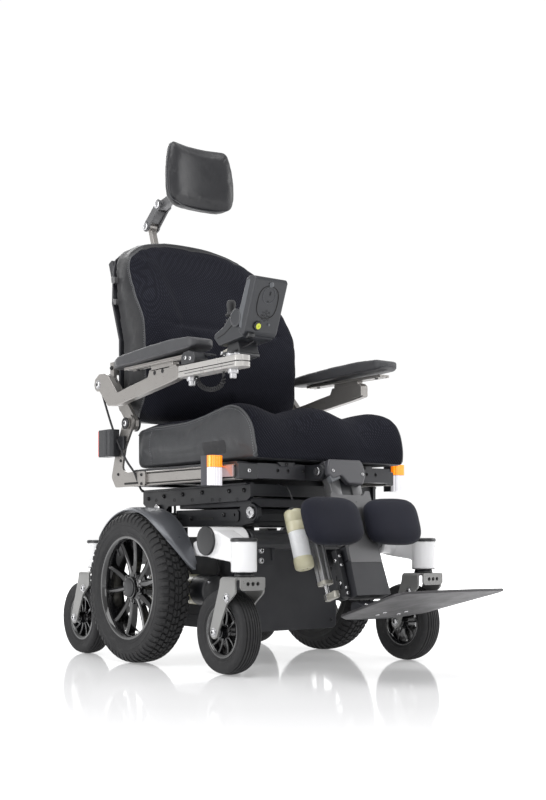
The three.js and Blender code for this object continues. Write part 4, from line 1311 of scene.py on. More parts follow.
def smooth01(t):
    t = np.clip(t, 0, 1)
    return t * t * (3 - 2 * t)


def build_back():
    nz, nx = 88, 90
    zs = np.concatenate([np.linspace(565, 985, nz - 19), 985 + 52.5 * np.sin(np.linspace(0.08, 1, 20) * math.pi / 2)])
    verts, faces = [], []
    front, rear = [], []
    for z in zs:
        W = interp(z, *BACK_W)
        f = interp(z, *BACK_F) + 3.0
        b = interp(z, *BACK_R) - 1.0
        u = np.linspace(-1, 1, nx + 1)
        x = W * np.sign(u) * (1 - (1 - np.abs(u)) ** 1.25)
        ax = np.abs(x)
        # sides wrap back to the gusset seam
        wrap = interp(z, [p[1] for p in BACK_SEAM], [p[0] for p in BACK_SEAM]) if z < 972 else f + 8
        depth = max(10.0, wrap - f)
        t = np.clip((ax - (W - 66)) / 66.0, 0, 1)
        y = f + depth * (1 - np.sqrt(np.clip(1 - t ** 2.2, 0, 1)))
        # recessed middle above the lumbar fold
        hi = smooth01((z - 786) / 16.0) * smooth01((1000 - z) / 170.0)
        mid = smooth01((150 - ax) / 34.0)
        y = y + 24.0 * hi * mid
        # shallow hollow in the lumbar part, sharp fold line above it
        y = y + 7.0 * smooth01((778 - z) / 60.0) * smooth01((z - 600) / 60) * np.exp(-(ax / 120.0) ** 2)
        y = y + 7.0 * math.exp(-((z - 792) / 6.0) ** 2) * smooth01((168 - ax) / 20.0)
        y = y + 5.0 * hi * smooth01((930 - z) / 110.0) * np.exp(-((ax - 128) / 11.0) ** 2)
        y = np.minimum(y, b - 8)
        front.append([(float(a), float(c), float(z)) for a, c in zip(x, y)])
        rear.append([(float(a), float(b), float(z)) for a in x])
    m = nx + 1
    for row in front:
        verts += row
    base = len(verts)
    for row in rear:
        verts += row
    for i in range(nz):
        for j in range(nx):
            p = i * m + j
            faces.append((p, p + 1, p + m + 1, p + m))
            q = base + p
            faces.append((q, q + m, q + m + 1, q + 1))
        for j in (0, nx):
            p = i * m + j
            faces.append((p, p + m, base + p + m, base + p))
    for j in range(nx):
        for i in (0, nz):
            p = i * m + j
            faces.append((p, p + 1, base + p + 1, base + p))
    o = mesh_object("back_cover", verts, faces, M["mesh"], True, None)

    def cap_of(p):
        rear_y = np.interp(p[:, 2], BACK_R[0], BACK_R[1])
        w = np.clip((rear_y - 4 - p[:, 1]) / 18.0, 0, 1)
        fold = 1 - 0.85 * np.exp(-((p[:, 2] - 792) / 10.0) ** 2) * (np.abs(p[:, 0]) < 170)
        side = np.clip((np.abs(p[:, 0]) - (np.interp(p[:, 2], *BACK_W) - 8)) / 8.0, 0, 1)
        top = np.clip((1040 - p[:, 2]) / 40.0, 0.12, 1)
        return w * fold * (1 - 0.55 * side) * top

    soft(o, 5, 4, 9, cap_of)
    return o


def finish_back(o):
    me = o.data
    me.materials.clear()
    for m in (M["mesh"], M["vinylb"]):
        me.materials.append(m)
    n = len(me.polygons)
    c = np.empty(n * 3)
    me.polygons.foreach_get("center", c)
    c = c.reshape(-1, 3) / MM
    nor = np.empty(n * 3)
    me.polygons.foreach_get("normal", nor)
    nor = nor.reshape(-1, 3)
    zz = [p[1] for p in BACK_SEAM] + [985, 1000, 1015, 1030, 1045]
    yy = [p[0] for p in BACK_SEAM] + [180, 188, 196, 204, 210]
    seam_y = np.interp(c[:, 2], zz, yy)
    W = np.interp(c[:, 2], *BACK_W)
    gus = (c[:, 1] > seam_y) & ((np.abs(c[:, 0]) > W - 40) | (c[:, 2] > 975))
    me.polygons.foreach_set("material_index", np.where(gus, 1, 0).astype(np.int32))
    finish_piece(o, "back", ["back_cushion"])
    tree = bvh(o)
    path = []
    for z, y in zip(zz, yy):
        if z > 990:
            break
        path.append((interp(z, *BACK_W), y, z))
    # over the top: from one side to the other along the upper edge
    full = [(-p[0] - 30, p[1], p[2]) for p in path]
    arc = [(-180, 190, 1000), (-162, 197, 1010), (-138, 203, 1020), (-108, 207, 1028), (-60, 210, 1034), (0, 211, 1038)]
    arc = arc + [(-a, b, c) for a, b, c in reversed(arc[:-1])]
    loop = full[:-1] + arc + [(p[0] + 30, p[1], p[2]) for p in reversed(path[:-1])]
    loop = [tuple(p) for p in smooth_path(loop, 6)]
    centre = Vector((0, 150, 800))
    pts = []
    for p in loop:
        P = Vector(p)
        if abs(P.x) > 150 and P.z < 1010:
            q = cast_on(tree, [(math.copysign(300, P.x), P.y, P.z)], (-math.copysign(1, P.x), 0, 0), 0.3)[0][0]
        else:
            q = nearest_on(tree, [P], 0.3)[0][0]
        pts.append(Vector(q))
    for _ in range(6):
        pts = [pts[0]] + [(pts[i - 1] + pts[i] * 2 + pts[i + 1]) / 4 for i in range(1, len(pts) - 1)] + [pts[-1]]
    pts = [Vector(p) for p, _ in nearest_on(tree, resample(pts, 7), 0.1)]
    finish_piece(tube("back_piping", pts, 1.6, M["piping"], 8, 0), "back")
    off = [p + Vector((0, 5.0, 0)) for p in pts]
    st = [Vector(p) for p, _ in nearest_on(tree, off, 0.25)]
    stitches("back_stitch", st, M["thread"], "back", 3.6, 2.2, 0.40)
    return tree


# headrest pad -----------------------------------------------------------
def build_headrest():
    nx, nz = 44, 40
    front, rear = [], []
    for i in range(nz + 1):
        v = -1 + 2 * i / nz
        rf, rr = [], []
        for j in range(nx + 1):
            u = -1 + 2 * j / nx
            # rounded outline from a square of parameters
            e = 0.10 if v > 0 else 0.24
            sx = u * math.sqrt(max(0.0, 1 - e * v ** 6))
            sz = v * math.sqrt(max(0.0, 1 - e * u ** 6))
            half = 99 - 13 * max(0, sz) ** 1.7 - 3 * max(0, -sz) ** 4
            x = sx * half
            z = 1197 + sz * (84 if sz > 0 else 79)
            wrap = 17.0 * (x / 98.0) ** 2
            lean = (z - 1197) * 0.10
            edge = max(abs(u), abs(v))
            roll = 6.0 * max(0.0, (edge - 0.80) / 0.20) ** 2.2
            yf = 158 - wrap + lean * 0.5 + roll - 7.0 * (1 - sz * sz) * 0.4
            yr = 186 - wrap + lean * 0.5 - 3.0 * max(0.0, (edge - 0.8) / 0.2) ** 2
            rf.append((x, yf, z))
            rr.append((x, yr, z))
        front.append(rf)
        rear.append(rr)
    verts, faces = [], []
    m = nx + 1
    for r in front:
        verts += r
    base = len(verts)
    for r in rear:
        verts += r
    for i in range(nz):
        for j in range(nx):
            p = i * m + j
            faces.append((p, p + 1, p + m + 1, p + m))
            q = base + p
            faces.append((q, q + m, q + m + 1, q + 1))
        for j in (0, nx):
            p = i * m + j
            faces.append((p, p + m, base + p + m, base + p))
    for j in range(nx):
        for i in (0, nz):
            p = i * m + j
            faces.append((p, p + 1, base + p + 1, base + p))
    o = mesh_object("headrest_cover", verts, faces, M["skin"], True, None)
    soft(o, 3.5, 3, 4.5, lambda p: np.clip((184 - p[:, 1]) / 10.0, 0.15, 1))
    return o


def finish_headrest(o):
    finish_piece(o, "headrest_pad", ["headrest_pad"])
    tree = bvh(o)
    loop = []
    for i in range(72):
        a = 2 * math.pi * i / 72
        c, s = math.cos(a), math.sin(a)
        q = (abs(c) ** 7.0 + abs(s) ** 7.0) ** (-1 / 7.0)
        X, Z = 112 * c * q, 1197 + 98 * s * q
        Y = 171.5 - 17.0 * (min(98, abs(X)) / 98.0) ** 2 + (Z - 1197) * 0.05
        d = Vector((-X, 0, 1197 - Z)).normalized()
        hit, nor, _, _ = tree.ray_cast(Vector((X * 1.4, Y, 1197 + (Z - 1197) * 1.4)) * MM, d)
        if hit is not None:
            loop.append(hit / MM + nor * 0.2)
    finish_piece(tube("headrest_piping", loop, 1.3, M["piping"], 8, 3, closed=True), "headrest_pad")
    # shell behind the pad; its ball mount is made with the headrest arm
    back = []
    nx, nz = 20, 16
    verts, faces = [], []
    for lay in (0, 1):
        for i in range(nz + 1):
            v = -1 + 2 * i / nz
            for j in range(nx + 1):
                u = -1 + 2 * j / nx
                sx = u * math.sqrt(max(0.0, 1 - 0.45 * v * v))
                sz = v * math.sqrt(max(0.0, 1 - 0.45 * u * u))
                x, z = sx * 78, 1192 + sz * 62
                y = 187.5 - 17.0 * (x / 98.0) ** 2 + (z - 1197) * 0.05 + lay * 2.6
                verts.append((x, y, z))
    m = nx + 1
    base = m * (nz + 1)
    for i in range(nz):
        for j in range(nx):
            p = i * m + j
            faces.append((p, p + 1, p + m + 1, p + m))
            faces.append((base + p, base + p + m, base + p + m + 1, base + p + 1))
        for j in (0, nx):
            p = i * m + j
            faces.append((p, p + m, base + p + m, base + p))
    for j in range(nx):
        for i in (0, nz):
            p = i * m + j
            faces.append((p, p + 1, base + p + 1, base + p))
    sh = mesh_object("headrest_shell", verts, faces, M["plastic"], True, 50)
    finish_piece(sh, "headrest_pad")


# calf pads ----------------------------------------------------------------
LEAN = -0.3347
LEG = Matrix.Translation((0, -385, 428)) @ Matrix.Rotation(LEAN, 4, "X")


def build_calf(k):
    side = "left" if k > 0 else "right"
    n, m = 64, 26
    verts, faces = [], []
    cxl, czl = 85.0, -127.0
    rings = []
    for i in range(m + 1):
        f = i / m
        # from the middle of the rear face, round the rim, to the middle of the front face
        if f < 0.25:
            rad, y = f / 0.25 * 0.93, -24.5
        elif f < 0.6:
            t = (f - 0.25) / 0.35 * math.pi / 2
            rad, y = 0.93 + 0.07 * math.sin(t), -24.5 - 14.0 * (1 - math.cos(t))
        else:
            t = (f - 0.6) / 0.4 * math.pi / 2
            rad, y = math.cos(t) ** 0.62 if t < math.pi / 2 - 1e-6 else 0.0, -38.5 - 20.5 * math.sin(t) ** 0.9
        ring = []
        for j in range(n):
            a = 2 * math.pi * j / n
            c, s = math.cos(a), math.sin(a)
            q = (abs(c) ** 3.7 + abs(s) ** 3.7) ** (-1 / 3.7)
            px, pz = c * q, s * q
            # wider at the top outside, narrower below
            sx = 76.5 * (1 + 0.02 * pz * px)
            sz = 52.5 * (1 + 0.03 * px)
            X = cxl + px * rad * sx
            Z = czl + pz * rad * sz
            ring.append(LEG @ Vector((k * X, y, Z)))
        rings.append(ring)
    for r in rings:
        verts += r
    for i in range(m):
        for j in range(n):
            a, b = i * n, (i + 1) * n
            faces.append((a + j, a + (j + 1) % n, b + (j + 1) % n, b + j))
    o = mesh_object(f"calf_cover_{side}", verts, faces, M["calf"], True, None)
    inv = LEG.inverted()
    iy = np.array(inv.to_3x3()[1][:])
    off = inv.translation.y

    def cap_of(p):
        yl = p @ iy + off
        return np.clip((-25.5 - yl) / 8.0, 0, 1)

    soft(o, 4, 4, 6, cap_of)
    return o


def finish_calf(o, k):
    side = "left" if k > 0 else "right"
    finish_piece(o, f"calf_pad_{side}", [f"calf_pad_{side}"])
    T = LEG
    # moulded backing plate, hinge knuckle and its strap
    plate = prism(f"calf_back_{side}", fillet([(22, -90), (38, -84), (132, -84), (148, -96), (148, -156), (134, -168), (36, -168), (22, -156)], 10, 4), -25.2, -20.8, "y", mat=M["plastic"], w=1.0)
    knuckle = lathe(f"calf_k_{side}", [(0, -151), (6.6, -151), (7.2, -150), (7.2, -96), (6.6, -95), (0, -95)], (54, 0, 0), (0, 0, 1), M["plastic"], 24)
    strap = prism(f"calf_s_{side}", fillet([(49.5, -21), (60, -21), (60, -2), (56, 2), (49.5, 0)], 1.5, 2), -141, -105, "z", mat=M["plastic"], w=0.8)
    pin = lathe(f"calf_p_{side}", [(0, -154.5), (3.4, -154.5), (3.4, -93), (5.2, -92.8), (5.2, -90.6), (3, -90), (0, -90)], (54, 0, 0), (0, 0, 1), M["bolt"], 18)
    o2 = join(f"calf_bracket_{side}", [plate, knuckle, strap, pin])
    if k < 0:
        S = Matrix.Scale(-1, 4, (1, 0, 0))
        o2.data.transform(S)
        o2.data.flip_normals()
    Tm = Matrix.Scale(MM, 4) @ T @ Matrix.Scale(1 / MM, 4)
    o2.data.transform(Tm)
    finish_piece(o2, f"calf_pad_{side}")


seat_cover = build_seat()
back_cover = build_back()
headrest_cover = build_headrest()
calf_covers = [(build_calf(k), k) for _, k in SIDES]
simulate_all()
finish_seat(seat_cover)
finish_back(back_cover)
finish_headrest(headrest_cover)
for o_, k_ in calf_covers:
    finish_calf(o_, k_)


# ------------------------------------------------------------ base
AXLE = 167.87  # drive axle from the origin; helper coordinates start at the axle


def to_leg(o):
    """Puts a piece drawn in the leg's own frame (knee at 0, -Z down the column) in place."""
    o.data.transform(Matrix.Scale(MM, 4) @ LEG @ Matrix.Scale(1 / MM, 4))
    return o


def mirrored(o):
    o.data.transform(Matrix.Scale(-1, 4, (1, 0, 0)))
    o.data.flip_normals()
    return o


def rounded(name, plane_outline, d0, d1, plane, mat, r=3.0, fil=6.0, seg=3, holes=(), n=4):
    return prism(name, fillet(plane_outline, fil, n), d0, d1, plane, holes=holes, mat=mat, w=r, seg=seg)


cad("chassis_frame", M["frame"], 1.2)
for nm in ("battery_front", "battery_rear", "control_module"):
    cad(nm, M["battery"], 3.0, 3)

cover = prism("front_cover", fillet([(-141, 73), (141, 73), (148, 82), (148, 222), (117, 222), (117, 284), (-117, 284), (-117, 222), (-148, 222), (-148, 82)],
                                     [14, 14, 10, 5, 3, 5, 5, 3, 5, 10], 5), -202.4, -197, "y", mat=M["panel"], w=1.6, seg=3)
finish_piece(cover, "chassis", ["front_shroud"])
fb = bolts("front_cover_bolts", [((x, -202.2, z), (0, -1, 0)) for x, z in ((-132, 212), (132, 212), (-132, 92), (132, 92), (-104, 268), (104, 268))], 4.2, 2.4, M["boltd"])
finish_piece(fb, "chassis")

for side, k in SIDES:
    def X(v):
        return k * v
    # front bracket plate with its three holes
    out = [(192, 300), (112, 300), (107, 295), (107, 277), (114, 270), (117.5, 236), (122, 236), (123, 270), (130, 274.5), (163, 274.5), (164, 229), (191, 228)]
    pl = prism(f"arm_bracket_{side}", fillet([(X(a), b) for a, b in out], [3, 3, 2, 3, 3, 2, 2, 3, 4, 5, 3, 3], 3), -304.2, -301.6, "y",
               holes=[circle(X(a), b, 3.6, 16) for a, b in ((179, 283), (156, 287), (133, 287))], mat=M["cross"], w=0.8)
    # near-black discs behind the three holes: painted shade seen through them
    back = [prism(f"_h{i}", circle(X(a), b, 3.3, 14), -302.4, -301.9, "y", mat=M["hole"], w=0) for i, (a, b) in enumerate(((179, 283), (156, 287), (133, 287)))]
    finish_piece(join(f"arm_bracket_{side}", [pl] + back), "chassis")
    b = bolts(f"arm_bracket_bolts_{side}", [((X(151), -302, 258), (0, -1, 0)), ((X(151), -302, 236), (0, -1, 0))], 5.6, 3.6, M["bolt"], washer=1.6)
    finish_piece(b, "chassis")
    # clamp of the cross tube
    ring = lathe(f"tube_clamp_{side}", [(20.3, 0), (25, 0), (25.6, 0.8), (25.6, 11.2), (25, 12), (20.3, 12)], (X(176), -293, 279), (k, 0, 0), M["frame"], 40, True)
    finish_piece(ring, "chassis")

    # motor: drum with a black end bell, gearbox with ribs and cover screws
    mx = X(189)
    prof = [(0, -187), (22, -187), (24, -186), (31.5, -184.6), (34.4, -181.5), (35, -176), (35, -131), (34, -129.6), (33.2, -129.2), (33.2, -126.6), (34, -126), (34, -96), (33.2, -95.4), (33.2, -92.6), (34, -92), (34, -24), (32, -21), (0, -21)]
    dr = lathe(f"motor_drum_{side}", prof, (mx, 0, 169), (0, 1, 0), M["cap"], 64, False, 30)
    dr.data.materials.append(M["silver"])
    dr.data.materials.append(M["cream"])
    for p in dr.data.polygons:
        y = p.center.y / MM
        rr = math.hypot(p.center.x / MM - mx, p.center.z / MM - 169)
        p.material_index = 2 if (y > -129.4 and y < -92) else (1 if y >= -92 else 0)
    gprof = [(0, 150), (40, 150), (44, 152), (45.4, 155), (45.4, 176), (43.6, 178), (43.6, 182), (45.8, 184), (45.8, 207), (43, 211), (40, 224), (34, 230), (25, 233), (12, 234), (11, 241.5), (0, 241.5)]
    gb = lathe(f"gearbox_{side}", gprof, (0, 0, 172), (k, 0, 0), M["silver"], 72, False, 30)
    scr = bolts(f"_gs{side}", [((X(208), 40 * math.sin(a), 172 + 40 * math.cos(a)), (k, 0, 0)) for a in [i * math.pi / 3 for i in range(6)]], 3.2, 2.6, M["boltd"])
    scr2 = bolts(f"_ms{side}", [((mx + 27 * math.cos(a), -185.4, 169 + 27 * math.sin(a)), (0, -1, 0)) for a in [math.pi / 4 + i * math.pi / 2 for i in range(4)]], 3.0, 2.2, M["bolt"])
    neck = rounded(f"_nk{side}", [(X(160), -28), (X(218), -28), (X(214), 20), (X(164), 20)], 138, 200, "z", M["silver"], 6, 6)
    gland = lathe(f"_gl{side}", [(0, 0), (7, 0), (7.6, 1), (7.6, 9), (6, 12), (4, 13), (0, 13)], (mx - k * 20, -150, 190), (-k * 0.6, 0, 0.8), M["cap"], 20)
    motor = join(f"motor_body_{side}", [dr, gb, scr, scr2, neck, gland])
    finish_piece(motor, "chassis", [f"motor_{side}"])
    cable = tube(f"motor_cable_{side}", [(mx - k * 24, -150, 196), (mx - k * 34, -150, 212), (X(158), -146, 232), (X(152), -130, 252), (X(140), -110, 268)], 4.0, M["soft"], 10, 6)
    finish_piece(cable, "chassis")
    # side of the base box: pressed rib, bolts and a lifting eye
    rib = rounded(f"box_rib_{side}", [(-176, 96), (140, 96), (140, 108), (-176, 108)], X(149.6), X(152.4), "x", M["frame"], 1.0, 5)
    finish_piece(rib, "chassis")
    bb = bolts(f"box_bolts_{side}", [((X(150.2), y, z), (k, 0, 0)) for y, z in ((-180, 270), (-180, 120), (-100, 270), (60, 270), (140, 270), (140, 120))], 4.4, 2.8, M["boltd"])
    finish_piece(bb, "chassis")
    eye = prism(f"tie_down_{side}", fillet([(X(112), 205), (X(144), 205), (X(144), 228), (X(112), 228)], 8, 4), 78.5, 84.5, "z", holes=[circle(X(128), 216, 6, 18)], mat=M["frame"], w=0.8)
    eye.data.transform(Matrix.Translation((0, -0.046, 0)))
    finish_piece(eye, "chassis")
    # arm bushings
    bu = lathe(f"rear_pivot_cap_{side}", [(0, 233.5), (21, 233.5), (22.6, 234.6), (22.6, 237), (20, 239), (0, 239.4)], (0, 85, 245), (k, 0, 0), M["cap"], 40)
    finish_piece(bu, f"rear_arm_{side}")

# rear cover of the base box, with a charging socket
rc = prism("rear_cover", fillet([(-140, 84), (140, 84), (146, 92), (146, 270), (140, 280), (-140, 280), (-146, 270), (-146, 92)], 8, 4), 160.3, 165, "y", mat=M["panel"], w=1.6, seg=3)
finish_piece(rc, "chassis")
rb = bolts("rear_cover_bolts", [((x, 164.8, z), (0, 1, 0)) for x in (-132, 132) for z in (100, 265)], 4.2, 2.4, M["boltd"])
finish_piece(rb, "chassis")
so = rounded("rear_socket", [(-26, 214), (26, 214), (26, 246), (-26, 246)], 164.6, 169, "y", M["plastic"], 1.4, 6)
finish_piece(so, "chassis")

# ------------------------------------------------------------ tilt module
cad("tilt_base", M["tilt"], 1.2)
cad("tilt_frame", M["tilt"], 1.2)
for side, k in SIDES:
    def X(v):
        return k * v
    pl = prism(f"tilt_plate_{side}", fillet([(-176, 346), (-244, 347), (-250, 342), (-250, 326), (-244, 321), (-176, 322), (-170, 327), (-170, 341)], 3, 3), X(169.6), X(173.2), "x",
               holes=[circle(-235, 336, 3.2, 14)], mat=M["tilt"], w=0.7)
    # near-black disc behind the hole and two thin near-black slots laid on the plate: painted shade
    hb = prism(f"_th{side}", circle(-235, 336, 3.1, 12), X(170.2), X(170.6), "x", mat=M["hole"], w=0)
    slot = prism(f"_ts{side}", fillet([(-20, 327), (30, 327), (30, 332), (-20, 332)], 2.4, 3), X(170.0), X(170.7), "x", mat=M["hole"], w=0)
    slot2 = prism(f"_tt{side}", fillet([(-150, 327), (-90, 327), (-90, 332), (-150, 332)], 2.4, 3), X(170.0), X(170.7), "x", mat=M["hole"], w=0)
    finish_piece(join(f"tilt_plate_{side}", [pl, hb, slot, slot2]), "chassis")
    lock = lathe(f"tilt_lock_{side}", [(0, 175.6), (12.6, 175.6), (13.4, 176.4), (13.4, 179.6), (12.2, 181), (9.4, 181.4), (9.0, 180.4), (5.4, 180.4), (5.0, 181.2), (3.2, 181.2), (2.8, 178.4), (0, 178.4)], (0, -300, 340), (k, 0, 0), M["bolt"], 40)
    finish_piece(lock, "chassis")
    ring = lathe(f"tilt_ring_{side}", [(13.6, 169.5), (19, 169.5), (19.8, 170.6), (19.8, 174), (18.6, 175.4), (13.6, 175.6)], (0, -300, 340), (k, 0, 0), M["tilt"], 40, True)
    finish_piece(ring, "chassis")
    b = bolts(f"tilt_bolts_{side}", [((X(173), -195, 337), (k, 0, 0)), ((X(170), -60, 331), (k, 0, 0)), ((X(170), 20, 322), (k, 0, 0))], 4.6, 3.0, M["boltd"], washer=1.2)
    finish_piece(b, "chassis")
    b = bolts(f"tilt_frame_bolts_{side}", [((X(181), y, z), (k, 0, 0)) for y, z in ((-280, 388), (-225, 388), (-120, 388), (-40, 386), (40, 384), (110, 380))], 4.6, 3.0, M["boltd"], washer=1.2)
    finish_piece(b, "seat")
    pv = lathe(f"tilt_pivot_{side}", [(0, 184.5), (12, 184.5), (13, 185.4), (13, 188), (11, 189.6), (5, 189.8), (4.6, 187), (0, 187)], (0, 62, 352), (k, 0, 0), M["bolt"], 36)
    finish_piece(pv, "seat")
    hs = dots(f"tilt_holes_{side}", [((X(181.2), y, 372 + 0.02 * (y + 100)), (k, 0, 0)) for y in (-255, -190, -160, -80, -5, 75)], 4.0, 2.0)
    finish_piece(hs, "seat")
    ledge = rounded(f"tilt_ledge_{side}", [(-298, 400), (-298, 404.5), (130, 400.5), (130, 396)], X(180.6), X(189), "x", M["tilt"], 0.8, 1.5)
    finish_piece(ledge, "seat")

# lifting screw and its motor lying in the tilt channel
scr = tube("tilt_screw", [(0, -240, 331), (0, 40, 331)], 7.0, M["boltd"], 16, 0)
finish_piece(scr, "chassis")
mot = lathe("tilt_motor", disc_profile(18, -250, -150, 3), (60, 0, 338), (0, 1, 0), M["tilt"], 40)
finish_piece(mot, "chassis")
fa = rounded("tilt_core_seat", [(-286, 353), (-4, 353), (-4, 372), (-286, 372)], -166, 166, "x", M["panel"], 2.0, 3)
finish_piece(fa, "seat")
fb_ = rounded("tilt_core_base", [(-256, 338), (24, 338), (24, 350.4), (-256, 350.4)], -158, 158, "x", M["panel"], 2.0, 3)
finish_piece(fb_, "chassis")
skirt = rounded("tilt_front_bar", [(-168, 322), (168, 322), (168, 340), (-168, 340)], -266.4, -262.2, "y", M["tilt"], 1.2, 4)
finish_piece(skirt, "chassis")

# ------------------------------------------------------------ seat frame
rail_sec = [(218, 409.5), (219.5, 408), (240.5, 408), (242, 409.5), (242, 411.4), (238.6, 411.8), (238.6, 414.2), (242, 414.6), (242, 434.6), (238.6, 435.0), (238.6, 437.4), (242, 437.8), (242, 439.5), (240.5, 441),
            (233, 441), (232.6, 437.6), (227.4, 437.6), (227, 441), (219.5, 441), (218, 439.5)]
for side, k in SIDES:
    def X(v):
        return k * v
    rail = prism(f"seat_rail_{side}", [(X(a), b) for a, b in rail_sec], -329 if k < 0 else -296, 60, "y", mat=M["alu"], w=0.35, seg=1)
    for p in rail.data.polygons:
        p.material_index = 0
    # the groove faces on the rail's outer side take the near-black hole material: painted shade in the grooves
    rail.data.materials.append(M["hole"])
    for p in rail.data.polygons:
        c = p.center / MM
        if abs(c.x) < 241.2 and abs(c.x) > 238.4 and abs(p.normal.x) > 0.5:
            p.material_index = 1
    rail2 = prism(f"_rr{side}", [(X(218), 409), (X(237.6), 409), (X(237.6), 440), (X(218), 440)], 60, 150, "y", mat=M["alu"], w=1)
    outl = [(153, 407), (172, 432), (150, 500), (117, 566), (106, 577), (84, 577), (73, 566), (75, 548), (109, 500), (124, 448), (94, 441), (22, 441), (18, 437), (18, 411), (22, 407)]
    plate = prism(f"recline_plate_{side}", fillet(outl, [10, 12, 30, 12, 8, 8, 10, 10, 24, 14, 10, 3, 3, 3, 3], 4), X(241.6), X(247), "x",
                  holes=[circle(95, 557, 8.4, 24)], mat=M["alu"], w=1.0, seg=2)
    # the slot is a thin near-black sheet on the plate: painted shade
    slot = prism(f"_rs{side}", fillet([(48, 412), (112, 412), (112, 417), (48, 417)], 2.4, 3), X(246.6), X(247.15), "x", mat=M["hole"], w=0)
    finish_piece(join(f"seat_rail_{side}", [rail, rail2, plate, slot]), "seat")
    b = bolts(f"recline_plate_bolts_{side}", [((X(247), y, z), (k, 0, 0)) for y, z in ((34, 433), (34, 412), (128, 470), (140, 438))], 3.6, 2.4, M["boltd"])
    finish_piece(b, "seat")
    if k < 0:
        end = rounded(f"rail_end_{side}", [(X(190), 409), (X(240), 409), (X(240), 443), (X(190), 443)], -343, -329.4, "y", M["plastic"], 2.0, 4)
        finish_piece(end, "seat")
        b = bolts(f"rail_end_bolt_{side}", [((X(214), -343, 427), (0, -1, 0))], 4.6, 3.0, M["bolt"])
        finish_piece(b, "seat")
    else:
        end = rounded(f"rail_end_{side}", [(X(216), 409), (X(242), 409), (X(242), 440), (X(216), 440)], -299.5, -296.2, "y", M["plastic"], 1.0, 3)
        finish_piece(end, "seat")
    # black edge moulding between rail and cushion
    em = rounded(f"rail_trim_{side}", [(-326 if k < 0 else -294, 441.2), (92, 441.2), (92, 447.4), (-326 if k < 0 else -294, 447.4)], X(205), X(232), "x", M["plastic"], 1.2, 2)
    finish_piece(em, "seat")
    # legrest lugs
    lug = prism(f"knee_lug_{side}", fillet([(-326, 411), (-326, 443), (-392, 443), (-402, 433), (-402, 422), (-392, 411)], [2, 4, 9, 8, 8, 9], 4), X(53), X(61), "x",
                holes=[circle(-385, 428, 8, 22)], mat=M["frame"], w=0.9)
    finish_piece(lug, "seat")

xm = prism("seat_cross_front", fillet([(-191, 411.5), (191, 411.5), (191, 444), (-191, 444)], 2.5, 3), -341.4, -326, "y",
           holes=[circle(x, 429.5, 4.0, 18) for x in (-136, -108, 119, 146)], mat=M["cross"], w=1.2)
# near-black discs behind the four holes: painted shade seen through them
xh = [prism(f"_xh{i}", circle(x, 429.5, 3.9, 14), -338.5, -338, "y", mat=M["hole"], w=0) for i, x in enumerate((-136, -108, 119, 146))]
pan = prism("_pan", fillet([(-212, -324), (212, -324), (212, 58), (-212, 58)], 12, 4), 440.5, 446, "z", mat=M["frame"], w=1.2)
c1_ = rounded("_c1", [(-220, 409), (220, 409), (220, 434), (-220, 434)], -60, -20, "y", M["frame"], 2, 3)
c2_ = rounded("_c2", [(-220, 409), (220, 409), (220, 434), (-220, 434)], 96, 132, "y", M["frame"], 2, 3)
c3_ = rounded("_c3", [(-218, 413), (211, 413), (211, 439), (-218, 439)], -325.6, -306, "y", M["frame"], 2, 3)
c4_ = rounded("_c4", [(-218, 413), (218, 413), (218, 439), (-218, 439)], -305.8, -290, "y", M["frame"], 2, 3)
finish_piece(join("seat_cross_front", [xm, pan, c1_, c2_, c3_, c4_] + xh), "seat", ["seat_frame"])
clips = []
for cx_ in (-116, 110):
    clips.append(prism(f"_cl{cx_}", fillet([(cx_ - 25, 447.5), (cx_ - 14, 438.5), (cx_ + 14, 438.5), (cx_ + 25, 447.5)], [1, 3, 3, 1], 3), -346.4, -341, "y", mat=M["plastic"], w=1.0))
finish_piece(join("cushion_clips", clips), "seat")
b = bolts("cross_bolts", [((-116, -346, 443), (0, -1, 0)), ((110, -346, 443), (0, -1, 0)), ((-66, -341, 430), (0, -1, 0)), ((72, -341, 430), (0, -1, 0))], 4.0, 2.6, M["boltd"])
finish_piece(b, "seat")
b = bolts("knee_bolts_front", [((-50, -341, 431), (0, -1, 0))], 6.4, 3.6, M["bolt"], washer=1.6)
finish_piece(b, "seat")


